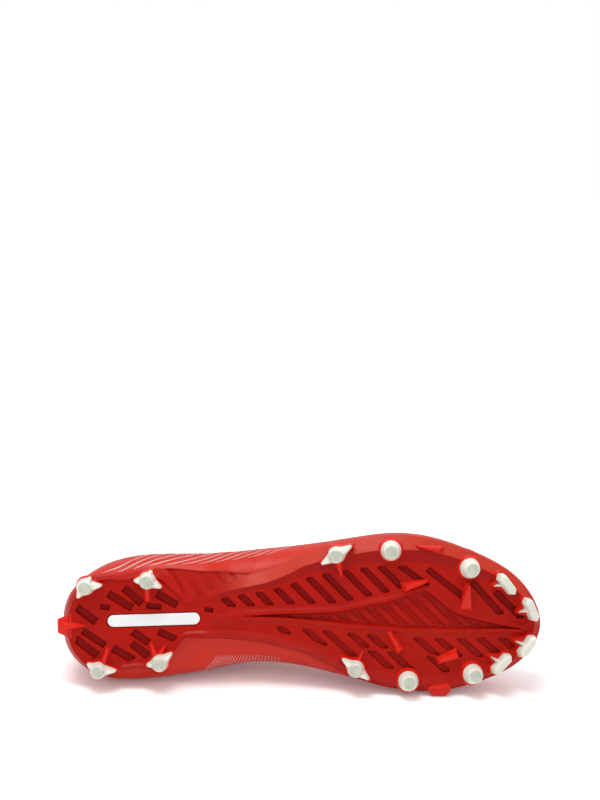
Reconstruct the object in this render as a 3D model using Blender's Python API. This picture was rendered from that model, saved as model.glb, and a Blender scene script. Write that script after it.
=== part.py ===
"""Low-cut american football cleat for the right foot, lying on its medial side with the sole towards -Y.

Everything is worked out in the shoe's own frame, as if it stood on its studs: x runs from heel to toe, y is
positive on the medial (arch) side, z is up from the ground. One empty then lays the whole shoe down until its
sole edge and its upper both touch the ground. Metres, +Z up.
"""

import math

import bmesh
import bpy
import numpy as np
from mathutils import Matrix, Vector
from mathutils.geometry import delaunay_2d_cdt

MM = 0.001

# Overall sizes
LENGTH = 295 * MM
BALL_WIDTH = 97 * MM
HEEL_HEIGHT = 64 * MM
SIDE_HEIGHT = 20 * MM
STUD_HEIGHT = 12 * MM
ARCH_RISE = 6 * MM
TOE_SPRING = 11 * MM

# Walls and clearances
GAP = 0.35 * MM
WALL = 2.0 * MM
COLLAR_PAD = 2.6 * MM
PLATE_FLOOR = 4.2 * MM
PLATE_LIP = 1.1 * MM
FLANGE = 8 * MM
PLUG_DROP = 0.5 * MM

# Relief of the plate's face, measured from its floor
RIM_PROUD = 1.2 * MM
RIDGE_PROUD = 1.2 * MM
RIDGE_WIDTH = 3.6 * MM
RIDGE_CREST = 1.4 * MM
POOL_DEPTH = 1.7 * MM
POOL_DRAFT = 1.1 * MM
SLOT_DEPTH = 2.2 * MM
SLOT_DRAFT = 0.5 * MM
SLOT_WIDTH = 4.1 * MM

# Slots of the forefoot: what they keep clear of, and how long they may be
RIDGE_MARGIN = 5.2 * MM
SLOT_MARGIN = 1.4 * MM
BADGE_MARGIN = 1.3 * MM
SHORTEST_SLOT = 3 * MM
LONGEST_SLOT = 30 * MM

# Studs
TIP_HEIGHT = 8.6 * MM
ROUND_BASE_RADIUS = 6.2 * MM
ROUND_TIP_RADIUS = 4.4 * MM
CORE_BASE_RADIUS = 5.2 * MM
CORE_TIP_RADIUS = 4.2 * MM
BLADE_LENGTH = 16.5 * MM
BLADE_WIDTH = 5.4 * MM
BLADE_SWELL = 0.6 * MM
FIN_ROOT_WIDTH = 6.4 * MM
FIN_END_WIDTH = 1.7 * MM
FIN_BACK = 0.6 * MM
FIN_CREST = 0.90
FIN_FALL = 0.36
FIN_STEP = 0.12 * MM
BASE_FLARE = 1.5 * MM
ROOT_DEPTH = 2.4 * MM

# Badge, insole, tongue and lace
BADGE_LENGTH = 56 * MM
BADGE_WIDTH = 7.2 * MM
BADGE_THICK = 1.1 * MM
BADGE_RECESS = 1.3 * MM
INSOLE_THICK = 3.5 * MM
INSOLE_GAP = 0.6 * MM
TONGUE_THICK = 3.0 * MM
TONGUE_RISE = 24 * MM
TONGUE_CROWN = 2.2 * MM
LACE_WIDTH = 5.5 * MM
LACE_THICK = 1.5 * MM
LACE_LIFT = 0.7 * MM
LACE_HUMP = 1.6 * MM

# How finely the forms are cut
RIBS_PER_SIDE = 30
UPPER_STEPS = 8
CORNER_STEPS = 4
ROUND_STEPS = 14
CORE_STEPS = 12

# Widest line of the upper, seen from below.
# columns: along as a share of LENGTH; lateral and medial reach as shares of BALL_WIDTH
WIDEST = (
    (0.020, -0.119, 0.201),
    (0.047, -0.216, 0.304),
    (0.095, -0.309, 0.388),
    (0.190, -0.371, 0.402),
    (0.305, -0.374, 0.361),
    (0.407, -0.399, 0.322),
    (0.508, -0.438, 0.338),
    (0.610, -0.495, 0.392),
    (0.712, -0.529, 0.450),
    (0.797, -0.485, 0.453),
    (0.875, -0.390, 0.398),
    (0.936, -0.284, 0.320),
    (0.976, -0.160, 0.222),
)
HEEL_TIP = (0.010, 0.046)
TOE_TIP = (1.000, 0.041)

# How far the plate's edge lies inside the widest line.
# columns: along; lateral and medial inset as shares of BALL_WIDTH
EDGE_INSET = (
    (0.000, 0.012, 0.012),
    (0.060, 0.015, 0.015),
    (0.095, 0.045, 0.026),
    (0.135, 0.090, 0.085),
    (0.170, 0.080, 0.095),
    (0.200, 0.068, 0.075),
    (0.225, 0.068, 0.110),
    (0.250, 0.070, 0.190),
    (0.275, 0.078, 0.255),
    (0.315, 0.088, 0.235),
    (0.407, 0.122, 0.170),
    (0.458, 0.092, 0.138),
    (0.508, 0.042, 0.112),
    (0.560, 0.022, 0.065),
    (0.610, 0.015, 0.030),
    (0.680, 0.012, 0.013),
    (1.000, 0.011, 0.011),
)

# How far the rim of the plate's face lies inside the plate's edge.
# columns: along; lateral and medial inset as shares of BALL_WIDTH
RIM_INSET = (
    (0.000, 0.030, 0.030),
    (0.080, 0.022, 0.022),
    (0.150, 0.014, 0.022),
    (0.205, 0.045, 0.024),
    (0.240, 0.125, 0.024),
    (0.270, 0.190, 0.026),
    (0.305, 0.150, 0.036),
    (0.356, 0.098, 0.042),
    (0.407, 0.067, 0.042),
    (0.508, 0.062, 0.042),
    (0.610, 0.067, 0.040),
    (0.712, 0.076, 0.040),
    (0.797, 0.062, 0.036),
    (0.936, 0.050, 0.034),
    (1.000, 0.034, 0.034),
)

# Width of the sloping band just inside the rim.
# columns: along; lateral and medial width as shares of BALL_WIDTH
RIM_BAND = (
    (0.000, 0.020, 0.020),
    (0.150, 0.011, 0.014),
    (0.300, 0.018, 0.018),
    (0.407, 0.034, 0.024),
    (0.508, 0.062, 0.040),
    (0.712, 0.086, 0.060),
    (0.850, 0.070, 0.056),
    (1.000, 0.040, 0.040),
)

# Side view of the plate's floor above the stud tips.
# columns: along; share of ARCH_RISE; share of TOE_SPRING
PROFILE = (
    (0.000, 0.10, 0.00),
    (0.060, 0.00, 0.00),
    (0.300, 0.00, 0.00),
    (0.360, 0.70, 0.00),
    (0.430, 1.00, 0.00),
    (0.520, 0.65, 0.00),
    (0.620, 0.14, 0.00),
    (0.700, 0.00, 0.00),
    (0.780, 0.00, 0.06),
    (0.860, 0.00, 0.28),
    (0.930, 0.00, 0.60),
    (1.000, 0.00, 1.00),
)

# Cross-section of the upper below its widest line.
# columns: along; height of the widest line above the plate as a share of SIDE_HEIGHT, lateral and medial;
# squareness of the corner between underside and side
SIDES = (
    (0.000, 0.95, 0.95, 3.2),
    (0.120, 1.00, 1.00, 3.2),
    (0.250, 1.10, 1.10, 2.7),
    (0.350, 1.20, 1.25, 2.2),
    (0.480, 1.05, 1.10, 2.3),
    (0.600, 0.75, 0.72, 3.2),
    (0.720, 0.58, 0.50, 4.2),
    (0.850, 0.48, 0.44, 4.5),
    (1.000, 0.42, 0.42, 3.8),
)

# The opening's edge that each rib of the upper ends on.
# columns: along of the rib's widest point; along of its top; lateral and medial reach of the top as shares
# of BALL_WIDTH; height as a share of HEEL_HEIGHT; slope there in degrees; fullness of the side; inward lean
# of the side just above its widest line, in degrees
TOPLINE = (
    (0.010, 0.030, 0.046, 0.046, 1.000, 90, 0.42, 2),
    (0.047, 0.046, -0.112, 0.196, 0.980, 91, 0.42, 3),
    (0.095, 0.092, -0.235, 0.305, 0.900, 92, 0.42, 5),
    (0.190, 0.190, -0.322, 0.356, 0.790, 92, 0.42, 8),
    (0.271, 0.271, -0.318, 0.308, 0.870, 80, 0.44, 9),
    (0.339, 0.335, -0.258, 0.222, 1.060, 60, 0.46, 10),
    (0.380, 0.369, -0.168, 0.138, 1.165, 44, 0.48, 10),
    (0.441, 0.427, -0.144, 0.122, 1.080, 40, 0.50, 10),
    (0.508, 0.495, -0.129, 0.126, 0.955, 38, 0.52, 11),
    (0.576, 0.563, -0.111, 0.130, 0.840, 34, 0.55, 12),
    (0.644, 0.624, -0.090, 0.126, 0.747, 30, 0.58, 13),
    (0.712, 0.668, -0.068, 0.113, 0.684, 26, 0.61, 14),
    (0.797, 0.691, -0.043, 0.093, 0.653, 22, 0.64, 14),
    (0.875, 0.702, -0.021, 0.072, 0.638, 18, 0.68, 12),
    (0.936, 0.707, 0.000, 0.054, 0.630, 15, 0.71, 10),
    (0.976, 0.709, 0.013, 0.040, 0.625, 14, 0.73, 8),
    (1.000, 0.711, 0.027, 0.027, 0.622, 14, 0.73, 8),
)
COLLAR_ENDS = 0.36

# The long sunken field of the forefoot, between its lateral and its medial ridge.
# columns: along; lateral and medial side as shares of BALL_WIDTH
POOL = (
    (0.390, -0.016, -0.007),
    (0.458, -0.028, 0.000),
    (0.520, -0.037, 0.012),
    (0.571, -0.046, 0.024),
    (0.606, -0.066, 0.032),
    (0.639, -0.091, 0.038),
    (0.674, -0.112, 0.046),
    (0.708, -0.143, 0.052),
    (0.734, -0.169, 0.054),
    (0.754, -0.185, 0.056),
    (0.771, -0.157, 0.058),
    (0.789, -0.112, 0.060),
    (0.806, -0.072, 0.061),
    (0.828, -0.037, 0.062),
    (0.859, -0.006, 0.062),
    (0.900, 0.025, 0.064),
    (0.932, 0.046, 0.067),
    (0.958, 0.060, 0.070),
)

# Slots of the forefoot, lateral side.
# columns: along; heading in degrees
LATERAL_SLOTS = (
    (0.351, 45),
    (0.388, 45),
    (0.426, 45),
    (0.465, 45),
    (0.502, 45),
    (0.540, 45),
    (0.577, 45),
    (0.617, 45),
    (0.654, 45),
    (0.690, 43),
    (0.731, 38),
    (0.800, 38),
    (0.885, 48),
    (0.938, 45),
)

# Slots of the forefoot, medial side.
# columns: along; heading in degrees; row
MEDIAL_SLOTS = (
    (0.412, 42, "whole"),
    (0.466, 42, "whole"),
    (0.525, 42, "whole"),
    (0.578, 42, "whole"),
    (0.620, 42, "inner"),
    (0.660, 42, "inner"),
    (0.756, 42, "inner"),
    (0.806, 42, "inner"),
    (0.851, 42, "inner"),
    (0.893, 42, "inner"),
    (0.932, 42, "inner"),
    (0.664, 42, "outer"),
    (0.708, 42, "outer"),
    (0.790, 42, "outer"),
)

# The solid line between the two medial rows.
# columns: along; across as a share of BALL_WIDTH
ROW_LINE = (
    (0.560, 0.180),
    (0.740, 0.200),
    (0.800, 0.245),
    (1.000, 0.250),
)

# Slots of the heel.
# columns: along; across as a share of BALL_WIDTH; length as a share of LENGTH; width as a share of SLOT_WIDTH;
# heading in degrees
HEEL_SLOTS = (
    (0.061, -0.025, 0.050, 1.05, 37),
    (0.099, -0.072, 0.020, 0.70, 10),
    (0.130, -0.112, 0.058, 1.05, 31),
    (0.156, -0.145, 0.049, 1.05, 42),
    (0.226, -0.123, 0.049, 1.05, 30),
    (0.199, -0.078, 0.031, 0.70, 5),
    (0.076, 0.122, 0.056, 0.90, 33),
    (0.060, 0.178, 0.058, 1.05, 38),
    (0.138, 0.226, 0.053, 1.05, 31),
    (0.172, 0.115, 0.042, 1.05, 35),
    (0.171, 0.194, 0.043, 1.05, 38),
    (0.229, 0.108, 0.045, 0.95, 24),
)

# Badge seat in the heel: along, across, heading in degrees
BADGE = (0.199, 0.006, -2)

# Studs with white tips.
# columns: name; kind; along; across as a share of BALL_WIDTH; heading in degrees of a blade; fins as pairs of
# heading and reach, where the reach is a share of CORE_BASE_RADIUS
STUDS = (
    ("heel_lateral_rear", "core", 0.060, -0.206, 0, ((-5, 1.95), (125, 1.65), (-62, 1.30))),
    ("heel_lateral_front", "core", 0.186, -0.245, 0, ((180, 1.55), (25, 1.90), (-68, 1.30))),
    ("heel_medial_rear", "core", 0.087, 0.318, 0, ((212, 1.55), (0, 2.10), (100, 1.05))),
    ("heel_medial_front", "core", 0.212, 0.270, 0, ((171, 1.55), (-40, 1.90), (90, 1.05))),
    ("mid_lateral", "core", 0.575, -0.408, 0, ((-32, 2.10), (148, 2.10))),
    ("mid_medial", "core", 0.615, 0.304, 0, ((217, 2.00), (37, 2.00))),
    ("ball_lateral", "round", 0.685, -0.439, 0, ()),
    ("ball_medial", "round", 0.722, 0.379, 0, ()),
    ("fore_lateral", "round", 0.846, -0.327, 0, ()),
    ("fore_medial", "round", 0.854, 0.338, 0, ()),
    ("toe_lateral_outer", "blade", 0.919, -0.227, 52, ((170, 1.45),)),
    ("toe_lateral_inner", "blade", 0.970, -0.064, 66, ((165, 1.45),)),
    ("toe_medial_inner", "blade", 0.963, 0.167, 127, ((205, 1.45),)),
    ("toe_medial_outer", "blade", 0.910, 0.273, 134, ((215, 1.45),)),
)

# Red lugs and gussets moulded on the plate.
# columns: name; along; across as a share of BALL_WIDTH; heading in degrees; length, width and height as
# shares of STUD_HEIGHT; share of the length that the crest keeps
LUGS = (
    ("lateral_fin", 0.736, -0.225, -15, 1.35, 0.52, 0.36, 0.55),
    ("fore_gusset", 0.845, -0.150, 86, 1.40, 0.58, 0.42, 0.55),
    ("medial_fin", 0.694, 0.137, 60, 1.20, 0.42, 0.34, 0.65),
    ("toe_fin", 0.803, 0.237, -20, 1.10, 0.55, 0.34, 0.60),
    ("lateral_nub", 0.764, -0.450, 10, 1.35, 0.50, 0.30, 0.60),
    ("medial_nub", 0.785, 0.420, -6, 1.20, 0.46, 0.30, 0.60),
    ("mid_lateral_gusset", 0.581, -0.322, 78, 0.95, 0.36, 0.26, 0.40),
    ("mid_medial_gusset", 0.622, 0.252, -70, 0.80, 0.34, 0.26, 0.40),
    ("heel_lateral_gusset", 0.186, -0.168, 88, 0.90, 0.38, 0.26, 0.40),
    ("heel_medial_gusset", 0.100, 0.238, -72, 0.80, 0.28, 0.22, 0.40),
    ("heel_ridge", 0.034, 0.046, -3, 1.00, 0.34, 0.20, 0.60),
)
# Nub on the medial edge: along, reach as a share of BALL_WIDTH, length, width, share kept by its crest
SIDE_NUB = (0.787, 0.4800, 14 * MM, 7 * MM, 0.55)
HEEL_NUB_WIDTH = 11 * MM
HEEL_NUB_HEIGHT = 8 * MM
HEEL_NUB_ROOT = 6 * MM

# Colours and finish: base colour, roughness, metallic
RED_SKIN = ((0.62, 0.035, 0.025), 0.42, 0.0)
RED_PLATE = ((0.50, 0.016, 0.014), 0.32, 0.0)
WHITE_TIP = ((0.74, 0.75, 0.66), 0.45, 0.0)
WHITE_BADGE = ((0.78, 0.78, 0.77), 0.38, 0.0)
WHITE_LACE = ((0.80, 0.80, 0.78), 0.80, 0.0)
RED_LINING = ((0.45, 0.02, 0.02), 0.85, 0.0)

# Relative weight of each piece, used only to find how the shoe comes to rest
DENSITY = {"upper": 1.0, "outsole_plate": 1.1, "insole": 0.3, "tongue": 0.4, "laces": 0.7}
TIP_DENSITY = 1.1


def smooth_table(shares, values):
    """A monotone cubic through a short table, as a function of the share along the shoe."""
    x, y = np.array(shares, float), np.array(values, float)
    step, rise = np.diff(x), np.diff(y) / np.diff(x)
    slope = np.zeros(len(x))
    slope[0], slope[-1] = rise[0], rise[-1]
    for k in range(1, len(x) - 1):
        if rise[k - 1] * rise[k] > 0:
            before, after = 2 * step[k] + step[k - 1], step[k] + 2 * step[k - 1]
            slope[k] = (before + after) / (before / rise[k - 1] + after / rise[k])

    def value(share):
        s = np.clip(share, x[0], x[-1])
        k = np.clip(np.searchsorted(x, s, side="right") - 1, 0, len(step) - 1)
        t = (s - x[k]) / step[k]
        return (
            (2 * t**3 - 3 * t**2 + 1) * y[k]
            + (t**3 - 2 * t**2 + t) * step[k] * slope[k]
            + (3 * t**2 - 2 * t**3) * y[k + 1]
            + (t**3 - t**2) * step[k] * slope[k + 1]
        )

    return value


def columns(table):
    """One smooth function for each column of a table after the first."""
    rows = np.array(table, float)
    return [smooth_table(rows[:, 0], rows[:, c]) for c in range(1, rows.shape[1])]


def closed_spline(points, per_span):
    """A smooth closed cubic through the points, as many small steps."""
    p = np.array(points, float)
    n = len(p)
    ahead = np.roll(p, -1, axis=0) - p
    span = np.linalg.norm(ahead, axis=1)
    system, right = np.zeros((n, n)), np.zeros_like(p)
    for k in range(n):
        before, after = span[k - 1], span[k]
        system[k, k - 1] += before
        system[k, k] += 2 * (before + after)
        system[k, (k + 1) % n] += after
        right[k] = 6 * (ahead[k] / after - ahead[k - 1] / before)
    bend = np.linalg.solve(system, right)
    t = np.linspace(0, 1, per_span, endpoint=False)[:, None]
    out = []
    for k in range(n):
        j, h = (k + 1) % n, span[k]
        curve = ((1 - t) ** 3 - (1 - t)) * bend[k] + (t**3 - t) * bend[j]
        out.append((1 - t) * p[k] + t * p[j] + curve * h * h / 6)
    return np.concatenate(out)


def by_length(path, count):
    """Points at equal steps along an open path, its ends included."""
    walked = np.concatenate([[0], np.cumsum(np.linalg.norm(np.diff(path, axis=0), axis=1))])
    at = np.linspace(0, walked[-1], count)
    return np.stack([np.interp(at, walked, path[:, c]) for c in range(path.shape[1])], axis=1)


WIDEST_SPAN_STEPS = 40
edge_lateral, edge_medial = columns(EDGE_INSET)
rim_lateral, rim_medial = columns(RIM_INSET)
band_lateral, band_medial = columns(RIM_BAND)
arch_share, spring_share = columns(PROFILE)
side_lateral, side_medial, squareness = columns(SIDES)
top_along, top_lateral, top_medial, top_height, top_slope, top_fullness, top_lean = columns(TOPLINE)
pool_lateral, pool_medial = columns(POOL)
(row_line,) = columns(ROW_LINE)


def floor_height(x):
    """Height of the plate's floor above the ground that the studs stand on."""
    share = np.asarray(x) / LENGTH
    return STUD_HEIGHT + ARCH_RISE * arch_share(share) + TOE_SPRING * spring_share(share)


def sole_top(x):
    """Height of the plate's upper face, where the upper's turned-in flange lies."""
    return floor_height(x) + PLATE_FLOOR


def widest_outline():
    """Plan points of the widest line, one for each rib: heel tip, lateral side, toe tip, medial side."""
    scale = np.array([LENGTH, BALL_WIDTH])
    rows = np.array(WIDEST)
    lateral, medial = rows[:, [0, 1]], rows[::-1, [0, 2]]
    control = np.concatenate([[HEEL_TIP], lateral, [TOE_TIP], medial]) * scale
    dense = closed_spline(control, WIDEST_SPAN_STEPS)
    turn = WIDEST_SPAN_STEPS * (len(WIDEST) + 1)
    there = by_length(dense[: turn + 1], RIBS_PER_SIDE + 1)
    back = by_length(np.concatenate([dense[turn:], dense[:1]]), RIBS_PER_SIDE + 1)
    return np.concatenate([there[:-1], back[:-1]])


RIBS = 2 * RIBS_PER_SIDE
OUTLINE = widest_outline()
SHARE = OUTLINE[:, 0] / LENGTH
IS_MEDIAL = np.arange(RIBS) > RIBS_PER_SIDE


def by_side(lateral, medial, share=SHARE):
    return np.where(IS_MEDIAL, medial(share), lateral(share))


def inward_normals(ring):
    """Unit normals in plan of a closed ring that runs heel, lateral, toe, medial."""
    ahead = np.roll(ring, -1, axis=0) - np.roll(ring, 1, axis=0)
    normal = np.stack([-ahead[:, 1], ahead[:, 0]], axis=1)
    return normal / np.linalg.norm(normal, axis=1)[:, None]


INWARD = inward_normals(OUTLINE)
PLATE_EDGE = OUTLINE + INWARD * (by_side(edge_lateral, edge_medial) * BALL_WIDTH)[:, None]
SOLE_OPENING = PLATE_EDGE + INWARD * FLANGE
FACE_RIM = PLATE_EDGE + INWARD * (by_side(rim_lateral, rim_medial) * BALL_WIDTH)[:, None]
FACE_BAND = FACE_RIM + INWARD * (by_side(band_lateral, band_medial) * BALL_WIDTH)[:, None]


def rib_levels():
    """For every rib the share of its lower curve where each ring lies, as an angle from underside to side."""
    whole = np.linalg.norm(OUTLINE - SOLE_OPENING, axis=1)
    reach = np.linalg.norm(PLATE_EDGE - SOLE_OPENING, axis=1) / whole
    edge = np.arcsin(np.clip(reach ** (squareness(SHARE) / 2), 0, 1))
    half = np.arcsin(np.clip((reach / 2) ** (squareness(SHARE) / 2), 0, 1))
    steps = [edge + (math.pi / 2 - edge) * k / CORNER_STEPS for k in range(1, CORNER_STEPS + 1)]
    return [np.zeros(RIBS), half, edge, *steps]


def lower_ring(angle):
    """A ring of the upper between the opening underneath and the widest line."""
    power = 2 / squareness(SHARE)
    out, up = np.sin(angle) ** power, 1 - np.cos(angle) ** power
    plan = SOLE_OPENING + (OUTLINE - SOLE_OPENING) * out[:, None]
    low = sole_top(SOLE_OPENING[:, 0])
    return np.column_stack([plan, low + (widest_height() - low) * up])


def widest_height():
    return sole_top(OUTLINE[:, 0]) + SIDE_HEIGHT * by_side(side_lateral, side_medial)


def topline():
    """The edge of collar and throat, one point for each rib."""
    across = by_side(top_lateral, top_medial) * BALL_WIDTH
    return np.column_stack(
        [top_along(SHARE) * LENGTH, across, sole_top(0) + top_height(SHARE) * HEEL_HEIGHT]
    )


def upper_ring(t):
    """A ring of the upper at share t of the way from the widest line to the topline."""
    start = np.column_stack([OUTLINE, widest_height()])
    end = topline()
    way = (end - start)[:, :2]
    plan = np.linalg.norm(way, axis=1)
    rise = end[:, 2] - start[:, 2]
    slope = np.radians(top_slope(SHARE))
    fullness = top_fullness(SHARE)
    pull = 0.5 * (plan * np.cos(slope) + rise * np.sin(slope))
    heading = way / plan[:, None]
    tangent = np.column_stack([heading * np.cos(slope)[:, None], np.sin(slope)])
    lean = np.tan(np.radians(top_lean(SHARE))) * fullness * rise
    first = start + np.column_stack([heading * lean[:, None], fullness * rise])
    second = end - tangent * pull[:, None]
    return (
        (1 - t) ** 3 * start + 3 * (1 - t) ** 2 * t * first + 3 * (1 - t) * t**2 * second + t**3 * end
    )


def outer_rings():
    """The upper's outer surface as rings, from the opening underneath to the topline."""
    low = [lower_ring(angle) for angle in rib_levels()]
    high = [upper_ring(k / UPPER_STEPS) for k in range(1, UPPER_STEPS + 1)]
    return np.array(low + high)


EDGE_STEPS = 2
WIDEST_LEVEL = EDGE_STEPS + CORNER_STEPS
RINGS = outer_rings()


def outward_normals(rings):
    """Unit normals of a net of rings, pointing out of the shoe."""
    around = np.roll(rings, -1, axis=1) - np.roll(rings, 1, axis=1)
    along = np.empty_like(rings)
    along[1:-1] = rings[2:] - rings[:-2]
    along[0], along[-1] = rings[1] - rings[0], rings[-1] - rings[-2]
    normal = np.cross(around, along)
    return normal / np.linalg.norm(normal, axis=2)[:, :, None]


NORMALS = outward_normals(RINGS)


def wall_thickness():
    """The skin's thickness ring by ring, with a padded band round the collar."""
    high = np.clip((np.arange(len(RINGS)) - WIDEST_LEVEL) / UPPER_STEPS, 0, 1)
    swell = np.sin(np.clip((high - 0.35) / 0.65, 0, 1) * math.pi * 0.75)
    collar = np.clip((COLLAR_ENDS - SHARE) / 0.06, 0, 1)
    return WALL + COLLAR_PAD * swell[:, None] * collar[None, :]


def new_object(name, points, faces, material, frame):
    mesh = bpy.data.meshes.new(name)
    mesh.from_pydata([tuple(p) for p in points], [], [tuple(int(i) for i in f) for f in faces])
    mesh.validate()
    mesh.materials.append(material)
    mesh.shade_smooth()
    mesh.set_sharp_from_angle(angle=math.radians(32))
    obj = bpy.data.objects.new(name, mesh)
    obj.parent = frame
    bpy.context.scene.collection.objects.link(obj)
    return obj


def finish_of(name, look):
    colour, roughness, metallic = look
    material = bpy.data.materials.new(name)
    material.use_nodes = True
    shader = material.node_tree.nodes["Principled BSDF"]
    shader.inputs["Base Color"].default_value = (*colour, 1)
    shader.inputs["Roughness"].default_value = roughness
    shader.inputs["Metallic"].default_value = metallic
    return material


def ring_faces(rows, width, first=0):
    """Triangles of a net that closes on itself sideways."""
    out = []
    for r in range(rows - 1):
        for c in range(width):
            d = (c + 1) % width
            a, b = first + r * width, first + (r + 1) * width
            out += [(a + c, a + d, b + d), (a + c, b + d, b + c)]
    return out


def flipped(faces):
    return [tuple(reversed(f)) for f in faces]


def build_upper(material, frame):
    """One hollow skin: outer net, inner net one wall inside it, and the two rims that join them."""
    inner = RINGS - NORMALS * wall_thickness()[:, :, None]
    levels = len(RINGS)
    points = np.concatenate([RINGS.reshape(-1, 3), inner.reshape(-1, 3)])
    faces = ring_faces(levels, RIBS) + flipped(ring_faces(levels, RIBS, levels * RIBS))
    inside = levels * RIBS
    last = (levels - 1) * RIBS
    for c in range(RIBS):
        d = (c + 1) % RIBS
        faces.append((inside + c, inside + d, d, c))
        faces.append((last + c, last + d, inside + last + d, inside + last + c))
    return new_object("upper", points, faces, material, frame)


def cap_faces(first, width, turned=False):
    """Quads that close a ring across the shoe, from each lateral rib to the medial rib opposite."""
    half = width // 2
    out = [(first, first + 1, first + width - 1)]
    for k in range(1, half - 1):
        out.append((first + k, first + k + 1, first + width - k - 1, first + width - k))
    out.append((first + half - 1, first + half, first + half + 1))
    return flipped(out) if turned else out


def with_height(plan, relief):
    """Plan points on the plate's floor, sunk into it by the relief."""
    plan = np.asarray(plan, float)
    return np.column_stack([plan, floor_height(plan[:, 0]) + relief])


POOL_ENDS = (POOL[0][0] * LENGTH, POOL[-1][0] * LENGTH)


def pool_side(x, side, offset):
    """The pool's lateral or medial side, moved out by the offset."""
    reach = (pool_medial if side > 0 else pool_lateral)(np.asarray(x) / LENGTH) * BALL_WIDTH
    return reach + side * offset


def pool_ring(offset):
    """The pool's outline in plan, moved out by the offset, or in where it is negative."""
    start, end = POOL_ENDS
    if offset < 0:
        x = np.linspace(start, end, 400)
        open_here = pool_side(x, 1, offset) - pool_side(x, -1, offset) > 0.6 * MM
        start, end = x[open_here].min(), x[open_here].max()
    tips = [row[0] * LENGTH for row in POOL if start < row[0] * LENGTH < end]
    x = np.array([start, *tips, end])
    lateral = np.column_stack([x, pool_side(x, -1, offset)])
    medial = np.column_stack([x, pool_side(x, 1, offset)])
    if offset > 0:
        lateral = np.concatenate([[[start - offset, pool_side(start, 0, 0)]], lateral])
        medial = np.concatenate([medial, [[end + offset, pool_side(end, 0, 0)]]])
    return np.concatenate([lateral, medial[::-1]])


def band_side(x, side):
    """How far across the inner line of the rim's band lies at x."""
    half = FACE_BAND[: RIBS_PER_SIDE + 1] if side < 0 else FACE_BAND[RIBS_PER_SIDE:][::-1]
    order = np.argsort(half[:, 0])
    return np.interp(x, half[order, 0], half[order, 1])


def clipped_strip(x, y, angle, width, low, high, longest=LONGEST_SLOT):
    """A slanted slot through (x, y) whose long edges stop at the curves low(x) and high(x), or None."""
    way = np.array([math.cos(math.radians(angle)), math.sin(math.radians(angle))])
    aside = np.array([-way[1], way[0]])
    ends = []
    for half in (-0.5, 0.5):
        start = np.array([x, y]) + aside * width * half
        walk = np.linspace(-longest / 2, longest / 2, 481)
        line = start + walk[:, None] * way
        inside = (line[:, 1] > low(line[:, 0])) & (line[:, 1] < high(line[:, 0]))
        centre = len(walk) // 2
        if not inside[centre]:
            return None
        first, last = centre, centre
        while first > 0 and inside[first - 1]:
            first -= 1
        while last < len(walk) - 1 and inside[last + 1]:
            last += 1
        ends.append((line[first], line[last]))
    (a, b), (c, d) = ends
    if min(np.linalg.norm(b - a), np.linalg.norm(d - c)) < SHORTEST_SLOT:
        return None
    return np.array([a, b, d, c])


def beside_ridge(side):
    """The line that slots keep to next to the pool's ridge on one side."""
    return lambda x: pool_side(x, side, RIDGE_MARGIN)


def beside_band(side):
    """The line that slots keep to next to the rim's band on one side."""
    return lambda x: band_side(x, side) - side * SLOT_MARGIN


def beside_rows(side):
    """The line that slots keep to beside the solid line between the medial rows, or the band if nearer."""
    band = beside_band(1)
    return lambda x: np.minimum(row_line(x / LENGTH) * BALL_WIDTH + side * SLOT_MARGIN / 2, band(x))


def fore_slots():
    """The slanted slots of the forefoot, each cut off by the lines on its two sides."""
    wanted = [(s, turn, beside_band(-1), beside_ridge(-1)) for s, turn in LATERAL_SLOTS]
    bounds = {
        "whole": (beside_ridge(1), beside_band(1)),
        "inner": (beside_ridge(1), beside_rows(-1)),
        "outer": (beside_rows(1), beside_band(1)),
    }
    wanted += [(s, turn, *bounds[row]) for s, turn, row in MEDIAL_SLOTS]
    out = []
    for share, turn, low, high in wanted:
        x = share * LENGTH
        strip = clipped_strip(x, (low(x) + high(x)) / 2, turn, SLOT_WIDTH, low, high)
        if strip is not None:
            out.append(strip)
    return out


def turned_box(x, y, length, width, angle):
    """The corners in plan of a box with that heading."""
    way = np.array([math.cos(math.radians(angle)), math.sin(math.radians(angle))])
    aside = np.array([-way[1], way[0]])
    return np.array(
        [
            np.array([x, y]) + way * length * u / 2 + aside * width * v / 2
            for u, v in ((-1, -1), (1, -1), (1, 1), (-1, 1))
        ]
    )


def beside_badge(side):
    """The line that slots keep to next to the badge on one side; past its ends they are free of it."""
    share, across, angle = BADGE

    def line(x):
        along = x - share * LENGTH
        middle = across * BALL_WIDTH + along * math.tan(math.radians(angle))
        past = np.abs(along) > BADGE_LENGTH / 2 + BADGE_MARGIN
        return np.where(past, -side * BALL_WIDTH, middle + side * (BADGE_WIDTH / 2 + BADGE_MARGIN))

    return line


def heel_slots():
    """The slots of the heel, cut off by the rim's band and by the badge."""
    out = []
    for share, across, length, width, turn in HEEL_SLOTS:
        side = 1 if across > BADGE[1] else -1
        near, far = beside_badge(side), beside_band(side)
        low, high = (near, far) if side > 0 else (far, near)
        place = (share * LENGTH, across * BALL_WIDTH, turn, width * SLOT_WIDTH)
        strip = clipped_strip(*place, low, high, length * LENGTH)
        if strip is not None:
            out.append(strip)
    return out


def inset(corners, by):
    """A convex outline moved in by the same distance on every side."""
    count = len(corners)
    turn = np.cross(corners[1] - corners[0], corners[2] - corners[1])
    out = []
    for k in range(count):
        before = corners[k] - corners[k - 1]
        after = corners[(k + 1) % count] - corners[k]
        before, after = before / np.linalg.norm(before), after / np.linalg.norm(after)
        n1 = np.array([-before[1], before[0]]) * np.sign(turn)
        n2 = np.array([-after[1], after[0]]) * np.sign(turn)
        mitre = (n1 + n2) / (1 + n1 @ n2)
        out.append(corners[k] + mitre * by)
    return np.array(out)


BADGE_END_STEPS = 6


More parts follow.
